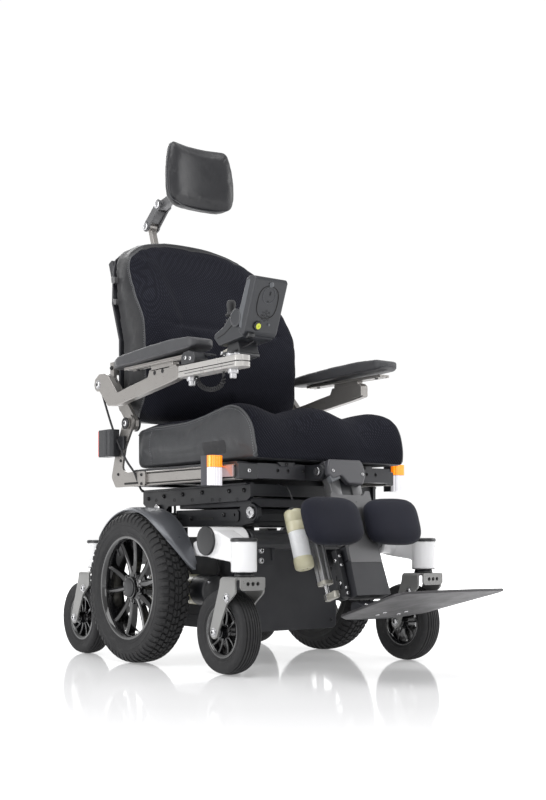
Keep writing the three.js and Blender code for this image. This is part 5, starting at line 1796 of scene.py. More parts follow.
# front lights --------------------------------------------------------------
for side, k in SIDES:
    def X(v):
        return k * v
    lens_out = [(X(246.4), -286), (X(246.4), -292), (X(252), -299.5), (X(258), -301), (X(272), -301), (X(279), -298), (X(282), -291), (X(282), -286)]
    lens_out = fillet(lens_out, [0.5, 4, 5, 6, 6, 5, 5, 0.5], 4)
    ribbed = []
    for i, (a_, b_) in enumerate(lens_out):
        ribbed.append((a_, b_))
    lo = prism(f"lamp_clear_{side}", ribbed, 396, 434, "z", mat=M["lampw"], w=1.8, seg=3)
    hi = prism(f"lamp_amber_{side}", ribbed, 434.6, 459, "z", mat=M["lampa"], w=1.8, seg=3)
    seam = prism(f"_lb{side}", [(a_ * 0.998, b_ + 0.3) for a_, b_ in lens_out], 433.8, 434.8, "z", mat=M["lamph"], w=0)
    hs = prism(f"_lh{side}", fillet([(X(246), -285.6), (X(282.2), -285.6), (X(282.2), -264), (X(277), -256), (X(252), -254), (X(246), -262)], [0.5, 0.5, 6, 6, 5, 4], 3), 396, 459, "z", mat=M["lamph"], w=2.4, seg=3)
    arm = prism(f"_la{side}", fillet([(X(243), -286), (X(247.6), -286), (X(247.6), -262), (X(243), -262)], 1, 2), 412, 440, "z", mat=M["lamph"], w=0.8)
    stub = prism(f"lamp_stub_{side}", fillet([(X(243.2), -330 if k < 0 else -294), (X(247), -330 if k < 0 else -294), (X(247), -287), (X(243.2), -287)], 1, 2), 414, 438, "z", mat=M["stub"], w=0.8)
    finish_piece(lo, "seat", [f"front_light_{side}"])
    finish_piece(hi, "seat")
    finish_piece(join(f"lamp_house_{side}", [hs, arm, seam]), "seat")
    finish_piece(stub, "seat")
    # rear light
    body = prism(f"tail_house_{side}", fillet([(X(250), 128), (X(250), 184), (X(276), 184), (X(276), 136), (X(268), 128)], [3, 0.5, 0.5, 6, 4], 4), 480, 545, "z", mat=M["plastic"], w=2.6, seg=3)
    lens_ = prism(f"tail_lens_{side}", fillet([(X(250.6), 183.6), (X(250.6), 188), (X(256), 191.6), (X(270), 191.6), (X(275.6), 187.5), (X(275.6), 183.6)], [0.5, 3, 4, 4, 4, 0.5], 4), 482, 543, "z", mat=M["lampr"], w=2.2, seg=3)
    ridge = prism(f"_rg{side}", fillet([(X(275.8), 146), (X(277.4), 148), (X(277.4), 160), (X(275.8), 162)], 1, 2), 484, 541, "z", mat=M["plastic"], w=0.5)
    st = prism(f"_st{side}", fillet([(X(247.8), 102), (X(256), 102), (X(256), 132), (X(247.8), 132)], 1.5, 2), 496, 528, "z", mat=M["plastic"], w=1.2)
    hole_ = dots(f"_hh{side}", [((X(256.2), 116, 512), (k, 0, 0))], 4.2, 2)
    finish_piece(join(f"tail_house_{side}", [body, ridge, st, hole_]), "seat")
    finish_piece(lens_, "seat", [f"rear_light_{side}"])

# ------------------------------------------------------------ back
cad("back_frame", M["aluz"], 1.6, 3)
cad("back_shell", M["panel"], 1.2, 2)
for side, k in SIDES:
    def X(v):
        return k * v
    ring = lathe(f"recline_ring_{side}", [(9, 252.4), (13.4, 252.4), (14, 253.2), (14, 256), (12.4, 257.2), (9, 257.4)], (0, 95, 557), (k, 0, 0), M["boltd"], 36, True)
    finish_piece(ring, "back")
    b = bolts(f"recline_bolt_{side}", [((X(252.6), 95, 557), (k, 0, 0))], 8.6, 5.2, M["bolt"])
    finish_piece(b, "back")
    # moulded hinge cover on the inner side
    hc = lathe(f"recline_cover_{side}", [(0, 221.5), (17, 221.5), (18, 222.6), (18, 226), (0, 226.4)], (0, 95, 557), (k, 0, 0), M["plastic"], 36)
    finish_piece(hc, "back")
    col_ = lathe(f"arm_collar_{side}", [(17.2, 236), (19, 236), (19.8, 237), (19.8, 241), (19, 242), (17.2, 242)], (0, 181, 655), (k, 0, 0), M["boltd"], 36, True)
    finish_piece(col_, "back")
    # shell clips on the rim of the back
    for i, (y0, y1, z0, z1, xo) in enumerate(((206, 222, 912, 931, 219), (190, 202, 856, 873, 225))):
        cl = rounded(f"shell_clip_{side}_{i}", [(y0, z0), (y1, z0 + 3), (y1 + 3, z1), (y0 + 3, z1 - 2)], X(xo - 12), X(xo), "x", M["legalu"], 1.6, 3)
        finish_piece(cl, "back")
    b = bolts(f"cane_bolts_{side}", [((X(236), y, z), (k, 0, 0)) for y, z in ((190, 700), (160, 610))], 4.6, 3.0, M["boltd"], washer=1.0)
    finish_piece(b, "back")

# dark end caps close the tops of the canes and of the upper cross bar
for side, k in SIDES:
    xa, xb = (182.6, 197.4) if k > 0 else (-197.4, -182.6)
    finish_piece(rounded(f"cane_cap_{side}", [(235.9, 924), (257.4, 981.6), (273.6, 974.8), (255.5, 922)], xa, xb, "x", M["plastic"], 1.2, 3), "back")
# headrest hardware -----------------------------------------------------------
cad("headrest_post", M["aluz"], 1.6, 3)
A_, B_ = Vector((0, 388, 1122)), Vector((0, 330, 1168))
d_ = (B_ - A_).normalized()
n_ = Vector((0, -d_.z, d_.y))


def link_pt(t, s):
    p = A_ + d_ * t + n_ * s
    return (p.y, p.z)


L_ = (B_ - A_).length
cheek = [link_pt(-14, -4), link_pt(-10, -11), link_pt(0, -14), link_pt(10, -12), link_pt(L_ - 10, -11), link_pt(L_, -13), link_pt(L_ + 10, -10), link_pt(L_ + 13, 0),
         link_pt(L_ + 10, 10), link_pt(L_, 13), link_pt(L_ - 10, 11), link_pt(10, 12), link_pt(0, 14), link_pt(-10, 11), link_pt(-14, 4)]
ch = [prism(f"_ck{k}", fillet(cheek, 3, 2), k * 13, k * 18, "x", mat=M["legalu"], w=0.9) for k in (-1, 1)]
web = prism("_wb", fillet([link_pt(17, -7), link_pt(L_ - 16, -7), link_pt(L_ - 16, 7), link_pt(17, 7)], 2, 2), -13.4, 13.4, "x", mat=M["legalu"], w=1.2)
finish_piece(join("headrest_link_bar", ch + [web]), "headrest_link", ["headrest_link"])
hb = []
for P in (A_, B_):
    for k in (-1, 1):
        hb.append(lathe("_hb", [(0, 18), (10.4, 18), (11.2, 18.8), (11.2, 20.4), (10, 21.4), (7.4, 21.6), (6.6, 20.2), (3.4, 20.2), (3.0, 18.6), (0, 18.6)], (0, P.y, P.z), (k, 0, 0), M["bolt"], 30))
finish_piece(join("headrest_bolts", hb), "headrest_link")
arm_ = prism("headrest_arm", fillet([(342, 1160), (342, 1178), (322, 1182), (196, 1206), (186, 1206), (186, 1188), (196, 1186), (318, 1156)], [5, 5, 8, 4, 3, 3, 4, 8], 4), -8, 8, "x", mat=M["legalu"], w=2.2, seg=3)
kn = lathe("_kn", disc_profile(12.4, -12, 12, 1.5), (0, 330, 1168), (1, 0, 0), M["legalu"], 36)
ball = lathe("_bl", [(0, 0), (24, 0), (26, 1.2), (26, 4), (22, 6.4), (15, 8), (11, 13), (10, 22), (0, 24)], (0, 189, 1196), (0, 1, 0), M["plastic"], 40)
finish_piece(join("headrest_arm", [arm_, kn, ball]), "headrest_pad")
kob = lathe("post_knob", [(0, 17), (5, 17), (5, 24), (11, 26), (12.4, 28), (12.4, 36), (11, 38), (0, 38.6)], (0, 306, 948), (1, 0, 0), M["plastic"], 12)
finish_piece(kob, "back")

# ------------------------------------------------------------ armrests
BAR = [(176, 638), (136, 600), (94, 597), (-138, 627.5), (-169, 633), (-169, 659), (-160, 666.5), (-133, 665.5), (-52, 664.5), (-44, 649), (92, 628), (136, 673), (152, 679), (176, 681), (197, 670), (201, 655), (197, 645), (188, 639)]
BAR_R = [4, 10, 8, 6, 4, 5, 5, 4, 4, 5, 10, 10, 6, 8, 8, 8, 6, 5]


def arm_pad(k):
    side = "left" if k > 0 else "right"
    prof = fillet([(100, 681.5), (92, 701), (27, 707), (-80, 713.5), (-170, 716), (-240, 714), (-261, 707), (-262, 696), (-240, 689), (-120, 685), (-20, 681.5)], [5, 9, 30, 30, 20, 14, 5, 4, 10, 10, 10], 4)
    a = prism(f"pad_{side}", prof, k * 237, k * 303, "x", mat=M["pad"], w=0)
    plan = fillet([(k * 240, 100), (k * 284, 100), (k * 302, 56), (k * 304, 0), (k * 303, -190), (k * 300, -262), (k * 240, -262), (k * 237, -190), (k * 236, 40)], [22, 18, 26, 10, 40, 27, 27, 40, 10], 7)
    c = prism("_pc", plan, 670, 725, "z", mat=M["pad"], w=0)
    md = a.modifiers.new("b", "BOOLEAN")
    md.operation = "INTERSECT"
    md.object = c
    md.solver = "EXACT"
    baked(a)
    bpy.data.objects.remove(c, do_unlink=True)
    a.data.materials.clear()
    a.data.materials.append(M["pad"])
    a.data.polygons.foreach_set("material_index", [0] * len(a.data.polygons))
    md = a.modifiers.new("r", "REMESH")
    md.mode = "VOXEL"
    md.voxel_size = 2.6 * MM
    sm = a.modifiers.new("s", "SMOOTH")
    sm.factor = 0.5
    sm.iterations = 9
    baked(a)
    a.data.polygons.foreach_set("use_smooth", [True] * len(a.data.polygons))
    finish_piece(a, f"armrest_{side}", [f"armrest_pad_{side}"])
    # parting line round the pad
    tree = bvh(a)
    line = []
    for p in resample([(x, y, 0) for x, y in plan + plan[:1]], 10):
        zz = interp(p.y, [-262, -240, -120, -20, 106], [699, 693, 690, 686, 684.5])
        hit, nor, _, _ = tree.find_nearest(Vector((p.x, p.y, zz)) * MM)
        line.append(hit / MM + nor * 0.05)
    pl = tube(f"pad_line_{side}", line[:-1], 0.55, M["pad"], 6, 0, closed=True)
    finish_piece(pl, f"armrest_{side}")


for side, k in SIDES:
    def X(v):
        return k * v
    arm_pad(k)
    bar = prism(f"armrest_beam_{side}", fillet(BAR, BAR_R, 4), X(262), X(279), "x", mat=M["alu"], w=1.8, seg=3)
    nose = rounded(f"_ns{side}", [(-134, 630.5), (-168.4, 635.5), (-168.4, 658.5), (-160, 665), (-134, 664)], X(257), X(279.4), "x", M["alu"], 2.0, 3)
    car = rounded(f"_cr{side}", [(-150, 660), (-60, 660), (-60, 674), (-150, 674)], X(262.5), X(279), "x", M["alu"], 1.2, 2)
    sec = [(258, 680), (258, 675), (259, 673.5), (264, 673.5), (264.6, 675), (267.4, 675), (268, 673.5), (278, 673.5), (278.6, 675), (281.4, 675), (282, 673.5), (287, 673.5), (288, 674.6), (288, 675.6), (287, 676.2), (287, 677.4), (288, 678), (288, 680)]
    rail = prism(f"_ra{side}", [(X(a), b) for a, b in sec], -236, 44, "y", mat=M["alu"], w=0.25, seg=1)
    finish_piece(join(f"armrest_beam_{side}", [bar, nose, car, rail]), f"armrest_{side}", [f"armrest_bar_{side}"])
    b = bolts(f"armrest_bolts_{side}", [((X(279.2), y, z), (k, 0, 0)) for y, z in ((-75, 655.5), (-108, 656.5))], 5.2, 0.8, M["boltd"])
    finish_piece(b, f"armrest_{side}")
    hb = bolts(f"armrest_pivot_{side}", [((X(278.6), 181, 655), (k, 0, 0))], 8.4, 3.2, M["bolt"], washer=3.0)
    finish_piece(hb, f"armrest_{side}")
    hb = bolts(f"armrest_rail_bolts_{side}", [((X(270), y, 673.4), (0, 0, -1)) for y in (-210, 10)], 4.4, 2.6, M["boltd"])
    finish_piece(hb, f"armrest_{side}")

# clamp under the right rail, with its bolts and lever; the pins that hold the swing link come with the joystick
cb = rounded("link_clamp", [(-222, 653.6), (-222, 672), (-230, 680), (-252, 682), (-268, 676), (-274, 664), (-270, 653.6)], -305, -271, "x", M["plastic"], 2.2, 4)
finish_piece(cb, "armrest_right")
b = bolts("link_clamp_bolts", [((-305, -240, 667), (-1, 0, 0)), ((-305, -258, 664), (-1, 0, 0))], 4.2, 2.4, M["bolt"])
finish_piece(b, "armrest_right")
gr = rounded("link_clamp_lever", [(-236, 676), (-262, 679), (-292, 672), (-292, 668), (-262, 672), (-236, 670)], -276, -262, "x", M["plastic"], 1.4, 2)
finish_piece(gr, "armrest_right")

# ------------------------------------------------------------ joystick
lk = fillet([(-308, -216), (-300, -204), (-280, -204), (-272, -216), (-272, -424), (-280, -437), (-300, -437), (-308, -424)], [8, 10, 10, 8, 8, 10, 10, 8], 5)
lk_in = fillet([(-306.8, -216), (-299.4, -205.4), (-280.6, -205.4), (-273.2, -216), (-273.2, -424), (-280.6, -435.6), (-299.4, -435.6), (-306.8, -424)], [8, 10, 10, 8, 8, 10, 10, 8], 5)
l1 = prism("swing_link", lk, 628, 639.0, "z", mat=M["link"], w=1.6, seg=3)
l2 = prism("_l2", lk_in, 638.6, 640.8, "z", mat=M["boltd"], w=0)
l3 = prism("_l3", lk, 640.4, 652, "z", mat=M["link"], w=1.6, seg=3)
# a thin dark strip on the side of the link: painted shade of a groove
groove = prism("_l4", fillet([(-308.3, -240), (-308.3, -420), (-307.4, -420), (-307.4, -240)], 0.3, 1), 632.8, 634.0, "z", mat=M["boltd"], w=0)
finish_piece(join("swing_link", [l1, l2, l3, groove]), "joystick_link", ["joystick_swing_link"])
for nm, y in (("rear", -242), ("front", -392)):
    kn = lathe(f"link_pin_{nm}", [(0, 630), (10.6, 630), (11, 629), (11, 620), (10.2, 618.8), (7.4, 618.4), (7.0, 616), (7.0, 610.4), (6.2, 609), (0, 608.8)], (-290, y, 0), (0, 0, 1), M["steel"], 30)
    finish_piece(kn, "joystick_link" if nm == "front" else "joystick_link")
hsb = rounded("pod_bracket", [(-304, -406), (-226, -398), (-214, -350), (-238, -328), (-304, -364)], 657.5, 662.5, "z", M["plastic"], 1.0, 6)
col = lathe("_pc1", [(0, 652.6), (14, 652.6), (14.6, 653.4), (14.6, 659), (0, 659)], (-290, -392, 0), (0, 0, 1), M["steel"], 30)
blk = rounded("_pb", [(-344, 662), (-350, 684), (-386, 688), (-396, 662)], -274, -226, "x", M["plastic"], 2.0, 4)
pb2 = rounded("_pb2", [(-318, 664), (-318, 676), (-346, 682), (-352, 664)], -264, -236, "x", M["silver"], 1.4, 3)
finish_piece(join("pod_bracket", [hsb, col, blk, pb2]), "joystick_module")
b = bolts("pod_bracket_bolts", [((x, y, 657.8), (0, 0, -1)) for x, y in ((-262, -352), (-240, -372), (-296, -372))] + [((-303.5, -372, 661), (-1, 0, 0))], 3.6, 2.4, M["bolt"])
finish_piece(b, "joystick_module")

base_o = fillet([(-316, 700), (-319, 709), (-352, 721), (-371, 737), (-386, 748), (-402, 748), (-418, 738), (-427, 704), (-417, 690), (-334, 681.5)], [4, 5, 16, 14, 10, 8, 6, 6, 10, 10], 5)
pod = prism("pod_base", base_o, -285.5, -208.5, "x", mat=M["pod"], w=4.2, seg=4)
slab_o = fillet([(-409, 748), (-435, 806), (-446, 810), (-463, 806), (-466.6, 799), (-429, 702), (-419, 691), (-406, 702)], [4, 5, 4, 5, 4, 8, 8, 8], 5)
slab = prism("pod_head", slab_o, -288, -206, "x", mat=M["pod"], w=3.4, seg=4)
# lighter side strips along the head
strips = []
for sx, xa, xb in ((-1, -288.7, -286.5), (1, -207.5, -205.3)):
    s = fillet([(-411, 744), (-436, 800), (-444, 803), (-449, 800), (-421, 726), (-418, 706), (-410, 712)], 3, 4)
    strips.append(prism("_sp", s, xa, xb, "x", mat=M["podlight"], w=0.8, seg=2))
discs = [lathe("_dk", [(0, 0), (17.4, 0), (18.2, 0.8), (18.2, 3.0), (17, 4.0), (14, 4.3), (13.4, 3.6), (0, 3.6)], ((-285.6 if sx < 0 else -208.4), -398, 731), (sx, 0, 0), M["pod"], 40) for sx in (-1, 1)]
# thin near-black lines on both sides of the base: painted shade of a groove
lines = [prism("_ln", fillet([(-330, 697), (-356, 704), (-380, 716), (-392, 724), (-391, 726), (-379, 718), (-355, 706), (-330, 699)], 0.8, 1), xa, xb, "x", mat=M["hole"], w=0) for xa, xb in ((-286.0, -285.3), (-208.7, -208.0))]
finish_piece(join("pod_base", [pod] + discs + lines), "joystick_module", ["joystick_housing"])
finish_piece(join("pod_head", [slab] + strips), "joystick_module")

# rear face of the head: oval recess drawn as a near-black outline (painted shade), speaker ring and slots as near-black
# cups (painted shade), charging jack
bd = Vector((0, -37.6, 97)).normalized()
bn = Vector((0, -97, -37.6)).normalized()
b0 = Vector((-247, -429.4, 702.5))


def onback(u, t, h=0.0):
    return b0 + Vector((1, 0, 0)) * u + bd * t + bn * h


ov = []
for i in range(56):
    a = 2 * math.pi * i / 56
    c, s = math.cos(a), math.sin(a)
    q = (abs(c) ** 2.6 + abs(s) ** 2.6) ** (-1 / 2.6)
    ov.append(onback(25 * c * q, 60 + 32 * s * q, 0.15))
# the recess is only a near-black ring on the flat face: painted shade at its edge
finish_piece(tube("pod_recess", ov, 0.9, M["hole"], 8, 0, closed=True), "joystick_module")
ov2 = [onback(15 * math.cos(2 * math.pi * i / 40), 74 + 16 * math.sin(2 * math.pi * i / 40), 0.2) for i in range(40)]
finish_piece(tube("pod_recess_inner", ov2, 0.5, M["podlight"], 6, 0, closed=True), "joystick_module")
sp = [(onback(9.5 * math.cos(math.pi / 4 * i) + 2, 33 + 9.5 * math.sin(math.pi / 4 * i), 0.1), bn) for i in range(8)]
sp += [(onback(4.2 * math.cos(math.pi / 2 * i) + 2, 33 + 4.2 * math.sin(math.pi / 2 * i), 0.1), bn) for i in range(4)]
finish_piece(dots("pod_speaker", sp, 2.0, 1.2), "joystick_module")
sl = [(onback(2, 76 + dz, 0.1), bn) for dz in (0, 2.2, 4.4)] + [(onback(0, 62, 0.1), bn)]
finish_piece(dots("pod_slot", sl, 1.7, 1.2), "joystick_module")
tip = lathe("pod_top_disc", [(0, 0.2), (5.5, 0.2), (5.5, 1.2), (4.5, 1.8), (0, 2.0)], onback(0, 96), bn, M["podlight"], 26)
finish_piece(tip, "joystick_module")
jk = lathe("pod_jack_ring", [(5.6, -2), (9.2, -2), (9.8, 0), (9.8, 3.2), (8.8, 4.6), (6.2, 4.8), (5.8, 3.4), (5.6, 0)], onback(-13, 11), bn, M["cap"], 32, True)
finish_piece(jk, "joystick_module")
jk = lathe("pod_jack", [(0, 0), (6.4, 0), (6.4, 4.2), (5.6, 5.0), (2.4, 5.2), (2.0, 3.4), (0, 3.4)], onback(-13, 11), bn, M["jack"], 28)
finish_piece(jk, "joystick_module")
br = lathe("pod_plug_barrel", disc_profile(6.2, -34, -18, 1.4), (0, -424, 694), (1, 0, 0), M["cap"], 26)
br.data.transform(Matrix.Translation((-0.245, 0, 0)))
finish_piece(br, "joystick_module")
br = lathe("pod_led", [(0, 0), (2.8, 0), (2.8, 1.6), (1.8, 2.2), (0, 2.3)], onback(14, 16), bn, M["podlight"], 20)
finish_piece(br, "joystick_module")
# screen towards the user
sd = Vector((0, -26, 58)).normalized()
sn = Vector((0, 58, 26)).normalized()
s0 = Vector((-247, -409.6, 748.6))


def onscreen(u, t, h=0.0):
    return s0 + Vector((1, 0, 0)) * u + sd * t + sn * h


v_, f_ = [], []
scr_out = fillet([(-33, 17), (33, 17), (33, 56), (-33, 56)], 3, 4)
for h in (-0.5, 0.5):
    v_ += [onscreen(u, t, h) for u, t in scr_out]
m_ = len(scr_out)
f_ = [tuple(range(m_)), tuple(range(2 * m_ - 1, m_ - 1, -1))] + [(i, (i + 1) % m_, m_ + (i + 1) % m_, m_ + i) for i in range(m_)]
finish_piece(mesh_object("pod_screen", v_, f_, M["glass"], True, 40), "joystick_module")
for nm in ("power_button", "mode_button"):
    cad(nm, M["button"], 1.0, 3)

# stick, bellows and gimbal
bel = [(0, 714.5), (19, 714.5), (20, 715.4), (20, 718), (16.5, 719), (15.6, 721), (17.4, 723.4), (17.0, 725.4), (13.6, 727), (13.0, 729), (14.6, 731.4), (14.2, 733.4), (10.8, 735), (10.2, 737), (11.4, 739.2), (11.0, 741.2), (7.4, 743.4), (5, 744.6), (0, 744.8)]
bw = lathe("stick_bellows", bel, (-247, -325, 0), (0, 0, 1), M["soft"], 48, False, 60)
finish_piece(bw, "joystick_gimbal", ["joystick_gimbal"])
stp = [(0, 738), (4.0, 738), (4.0, 746), (5.4, 747.4), (11.6, 749.6), (12.4, 751.4), (11.8, 753.6), (8.6, 756), (8.0, 759), (8.6, 764), (9.4, 772), (9.5, 777), (8.6, 780.6), (6.4, 782.6), (3, 783.4), (0, 783.6)]
sk = lathe("stick_knob", stp, (-247, -325, 0), (0, 0, 1), M["soft"], 44, False, 60)
finish_piece(sk, "joystick_stick", ["joystick_stick"])

# ------------------------------------------------------------ legrest
for x0, x1 in ((-44, -15), (15, 44)):
    r_ = prism(f"leg_rail_{'a' if x0 < 0 else 'b'}", fillet([(x0, -12), (x1, -12), (x1, 12), (x0, 12)], 3.5, 3), -171, -6, "z", mat=M["legalu"], w=1.2)
    to_leg(r_)
    finish_piece(r_, "legrest", ["legrest_upper"] if x0 < 0 else [])
core = prism("leg_core", [(-16, -8), (16, -8), (16, 9), (-16, 9)], -170, -8, "z", mat=M["plastic"], w=0.8)
pivot = lathe("_kp", disc_profile(17, -51, 51, 2), (0, 0, 0), (1, 0, 0), M["frame"], 44)
pin = lathe("_kq", [(0, -66), (8.6, -66), (9.6, -65), (9.6, -62), (7, -61.5), (7, 61.5), (9.6, 62), (9.6, 65), (8.6, 66), (0, 66)], (0, 0, 0), (1, 0, 0), M["bolt"], 28)
bars = [rounded(f"_kb{i}", [(-61, z0), (61, z0), (61, z0 + 8), (-61, z0 + 8)], -7.8, 8, "y", M["legalu"], 1.2, 2) for i, z0 in enumerate((-94, -160))]
yoke = rounded("_ky", [(-54, -58), (-48, -52), (-38, -58), (38, -58), (48, -48), (60, -48), (60, -88), (44, -100), (20, -112), (-20, -112), (-44, -100), (-54, -88)], -16.5, -12.2, "y", M["legalu"], 1.2, 3)
strap = rounded("_kt", [(-92, -140), (-40, -140), (-40, -104), (-92, -104)], 8.2, 12, "y", M["frame"], 1.0, 4)
o = join("leg_core", [core, pivot, pin, yoke, strap] + bars)
to_leg(o)
finish_piece(o, "legrest")
# moulded knee cover
kout = fillet([(-54, 3), (-46, 19.5), (44, 20.5), (50, 9), (50, -16), (37, -37), (-4, -36), (-20, -18), (-46, -26), (-56, -14)], [4, 5, 6, 5, 8, 7, 8, 8, 5, 4], 4)
k1 = prism("knee_cover", kout, -27.5, -13, "y", mat=M["knee"], w=5.2, seg=3)
k2 = prism("_k2", fillet([(-13.6, -12), (-13.6, 20), (9, 20), (17, 10), (17, -12)], [2, 5, 8, 8, 4], 4), -49, 49, "x", mat=M["knee"], w=3.5, seg=3)
kc = join("knee_cover", [k1, k2])
to_leg(kc)
finish_piece(kc, "legrest")
kb = bolts("knee_cover_bolts", [((x, -27.3, z), (0, -1, 0)) for x, z in ((-42, -8), (40, -14))], 3.6, 2.2, M["bolt"])
to_leg(kb)
finish_piece(kb, "legrest")
lb = rounded("knee_latch", [(-54, -20), (-26, -12), (-24, -24), (-50, -34)], -25.5, -14, "y", M["podlight"], 1.6, 2)
to_leg(lb)
finish_piece(lb, "legrest")

# lower column
pl = prism("leg_plate", fillet([(-43.5, -112), (43.5, -112), (44, -213), (-44, -213)], 3, 3), -21.6, -13.2, "y", mat=M["legalu"], w=1.4, seg=3)
to_leg(pl)
finish_piece(pl, "legrest_lower", ["legrest_lower"])
dk = prism("leg_skirt", fillet([(-44.5, -206), (44.5, -206), (48, -286), (-48, -286)], 4, 3), -20.6, 12, "y", mat=M["panel"], w=2.2, seg=3)
up_ = prism("_lu", fillet([(-42, -172), (42, -172), (44, -206), (-44, -206)], 3, 3), -13, 12, "y", mat=M["panel"], w=1.4)
sb = prism("_ls", fillet([(-62, -178), (-50, -174), (-47, -284), (-62, -280)], 3, 3), -2, 14, "y", mat=M["frame"], w=1.2)
hz = rounded("_lh", [(-66, -262), (0, -262), (0, -242), (-66, -242)], 8, 14, "y", M["frame"], 1.0, 3)
o = join("leg_skirt", [dk, up_, sb, hz])
to_leg(o)
finish_piece(o, "legrest_lower")
b = bolts("leg_bolts", [((-56, -2.2, z), (0, -1, 0)) for z in (-192, -212, -262, -274)] + [((-62.4, 6, z), (-1, 0, 0)) for z in (-200, -250)], 4.0, 2.8, M["bolt"])
to_leg(b)
finish_piece(b, "legrest_lower")

# elevating motor
mo = lathe("lift_motor", [(0, -71), (15.5, -71), (18.4, -72.4), (20.2, -75.5), (20.6, -80), (20.6, -97), (20.1, -98), (20.1, -99.5), (20.6, -100.5), (20.6, -119), (19.6, -120), (19.6, -177), (20.8, -178.4), (21.2, -184), (21.2, -197), (19.6, -201), (15.5, -203.4), (11.5, -204), (10.8, -202.6), (6, -202.6), (5.4, -204.4), (0, -204.6)], (-110, 52, 0), (0, 0, 1), M["cream"], 56)
mo.data.materials.append(M["label"])
mo.data.materials.append(M["silver"])
for p in mo.data.polygons:
    z = p.center.z / MM
    p.material_index = 1 if -177 < z < -119.6 else 0
hd = rounded("_md", [(-126, 36), (-58, 36), (-58, 68), (-126, 68)], -92, -68, "z", M["cap"], 3.0, 8)
o = join("lift_motor", [mo, hd])
to_leg(o)
finish_piece(o, "legrest", ["legrest_actuator"])
ch_sec = [(-82, 34), (-80.5, 32.6), (-75, 32.6), (-74.4, 35.4), (-65.6, 35.4), (-65, 32.6), (-59.5, 32.6), (-58, 34), (-58, 43), (-61, 43.6), (-61, 46.4), (-58, 47), (-58, 55.6), (-59.5, 57), (-80.5, 57), (-82, 55.6), (-82, 47), (-79, 46.4), (-79, 43.6), (-82, 43)]
cs = prism("lift_channel", ch_sec, -236, -70, "z", mat=M["steel"], w=0.3, seg=1)
gl = rounded("_cg", [(-83, 32), (-57, 32), (-57, 58), (-83, 58)], -242, -233, "z", M["silver"], 1.2, 4)
mt = rounded("_cm", [(-86, 12.6), (-70, 12.6), (-70, 40), (-86, 40)], -136, -108, "z", M["frame"], 1.0, 2)
o = join("lift_channel", [cs, gl, mt])
to_leg(o)
finish_piece(o, "legrest")
rd = lathe("lift_rod", [(0, -112), (4.4, -112), (5, -112.8), (5, -262), (7.6, -263), (7.6, -276), (0, -276)], (-70, 45, 0), (0, 0, 1), M["bolt"], 28)
cv = rounded("_cv", [(-77, 14.6), (-63, 14.6), (-63, 52), (-77, 52)], -277, -262, "z", M["silver"], 1.6, 4)
o = join("lift_rod", [rd, cv])
to_leg(o)
finish_piece(o, "legrest_lower", ["actuator_rod"])

# ------------------------------------------------------------ footplate
fp = fillet([(-119, -528), (-147, -720), (-141, -740), (-60, -744), (60, -744), (141, -740), (147, -720), (119, -528), (80, -496), (-80, -496)], [10, 14, 10, 20, 20, 10, 14, 10, 10, 10], 5)
pf = prism("foot_board", fp, 0, 5.2, "z", mat=M["plate"], w=1.4, seg=3)
lip = prism("_fg", [(x * 0.93, -620 + (y + 620) * 0.9) for x, y in fp], 5.0, 6.6, "z", mat=M["soft"], w=0.8, seg=2)
ridges = [prism(f"_fr{i}", fillet([(-100 - i * 2.2, -545 - i * 14), (100 + i * 2.2, -545 - i * 14), (100 + i * 2.2, -549 - i * 14), (-100 - i * 2.2, -549 - i * 14)], 1.6, 2), 6.4, 7.6, "z", mat=M["soft"], w=0.4, seg=1) for i in range(13)]
o = join("foot_board", [pf])
R = Matrix.Translation((0, -528, 124)) @ Matrix.Rotation(-0.26, 4, "X") @ Matrix.Translation((0, 528, 0))
Rm = Matrix.Scale(MM, 4) @ R @ Matrix.Scale(1 / MM, 4)
o.data.transform(Rm)
finish_piece(o, "footplate", ["footplate"])
o = join("foot_mat", [lip] + ridges)
o.data.transform(Matrix.Translation((0, 0, -0.0008)))
o.data.transform(Rm)
finish_piece(o, "footplate")
hb = prism("foot_hinge", fillet([(-503, 117), (-472, 127), (-467, 134), (-469, 149), (-486, 152), (-524, 137), (-536, 128)], [5, 5, 5, 6, 8, 10, 3], 4), -40, 40, "x", mat=M["panel"], w=3.4, seg=3)
hb2 = prism("_f2", fillet([(-496, 114), (-476, 114), (-470, 124), (-476, 132), (-500, 128)], 4, 3), -56, 56, "x", mat=M["frame"], w=1.6)
finish_piece(join("foot_hinge", [hb, hb2]), "footplate")
b = bolts("foot_hinge_bolts", [((sx * 56, -484, 122), (sx, 0, 0)) for sx in (-1, 1)] + [((x, -498, 145.5), (0, -0.35, 0.94)) for x in (-24, 24)], 4.6, 3.0, M["bolt"])
finish_piece(b, "footplate")
b = bolts("foot_under_bolts", [((x, y, 124 + (-(y) - 528) * math.tan(0.26) - 0.4), (0, -math.sin(0.26), -math.cos(0.26))) for x in (-30, 30) for y in (-540, -562)], 4.4, 2.2, M["bolt"])
finish_piece(b, "footplate")

# ------------------------------------------------------------ cables
BLENDS = []


def cable(name, pts, r, body=None, blend=None, slot="rubber_black", mat=None, n=8):
    o = tube(name, pts, r, mat or M["soft"], n, 8)
    if body:
        finish_piece(o, body)
    else:
        BLENDS.append((o, blend, slot))
    return o


def coil(name, pts, r, turns, wire, blend):
    path = smooth_path(pts, 10)
    path = resample(path, 1.2)
    out = []
    prev = None
    for i, p in enumerate(path):
        q0, q1 = path[max(0, i - 1)], path[min(len(path) - 1, i + 1)]
        t = (q1 - q0).normalized()
        a = frame_of(t)[0] if prev is None else (prev - t * prev.dot(t)).normalized()
        prev = a
        b = t.cross(a)
        f = i / (len(path) - 1)
        rr = r * min(1, f / 0.06, (1 - f) / 0.06)
        ang = 2 * math.pi * turns * f
        out.append(p + a * rr * math.cos(ang) + b * rr * math.sin(ang))
    o = tube(name, out, wire, M["soft"], 6, 0)
    BLENDS.append((o, blend, "rubber_black"))
    return o


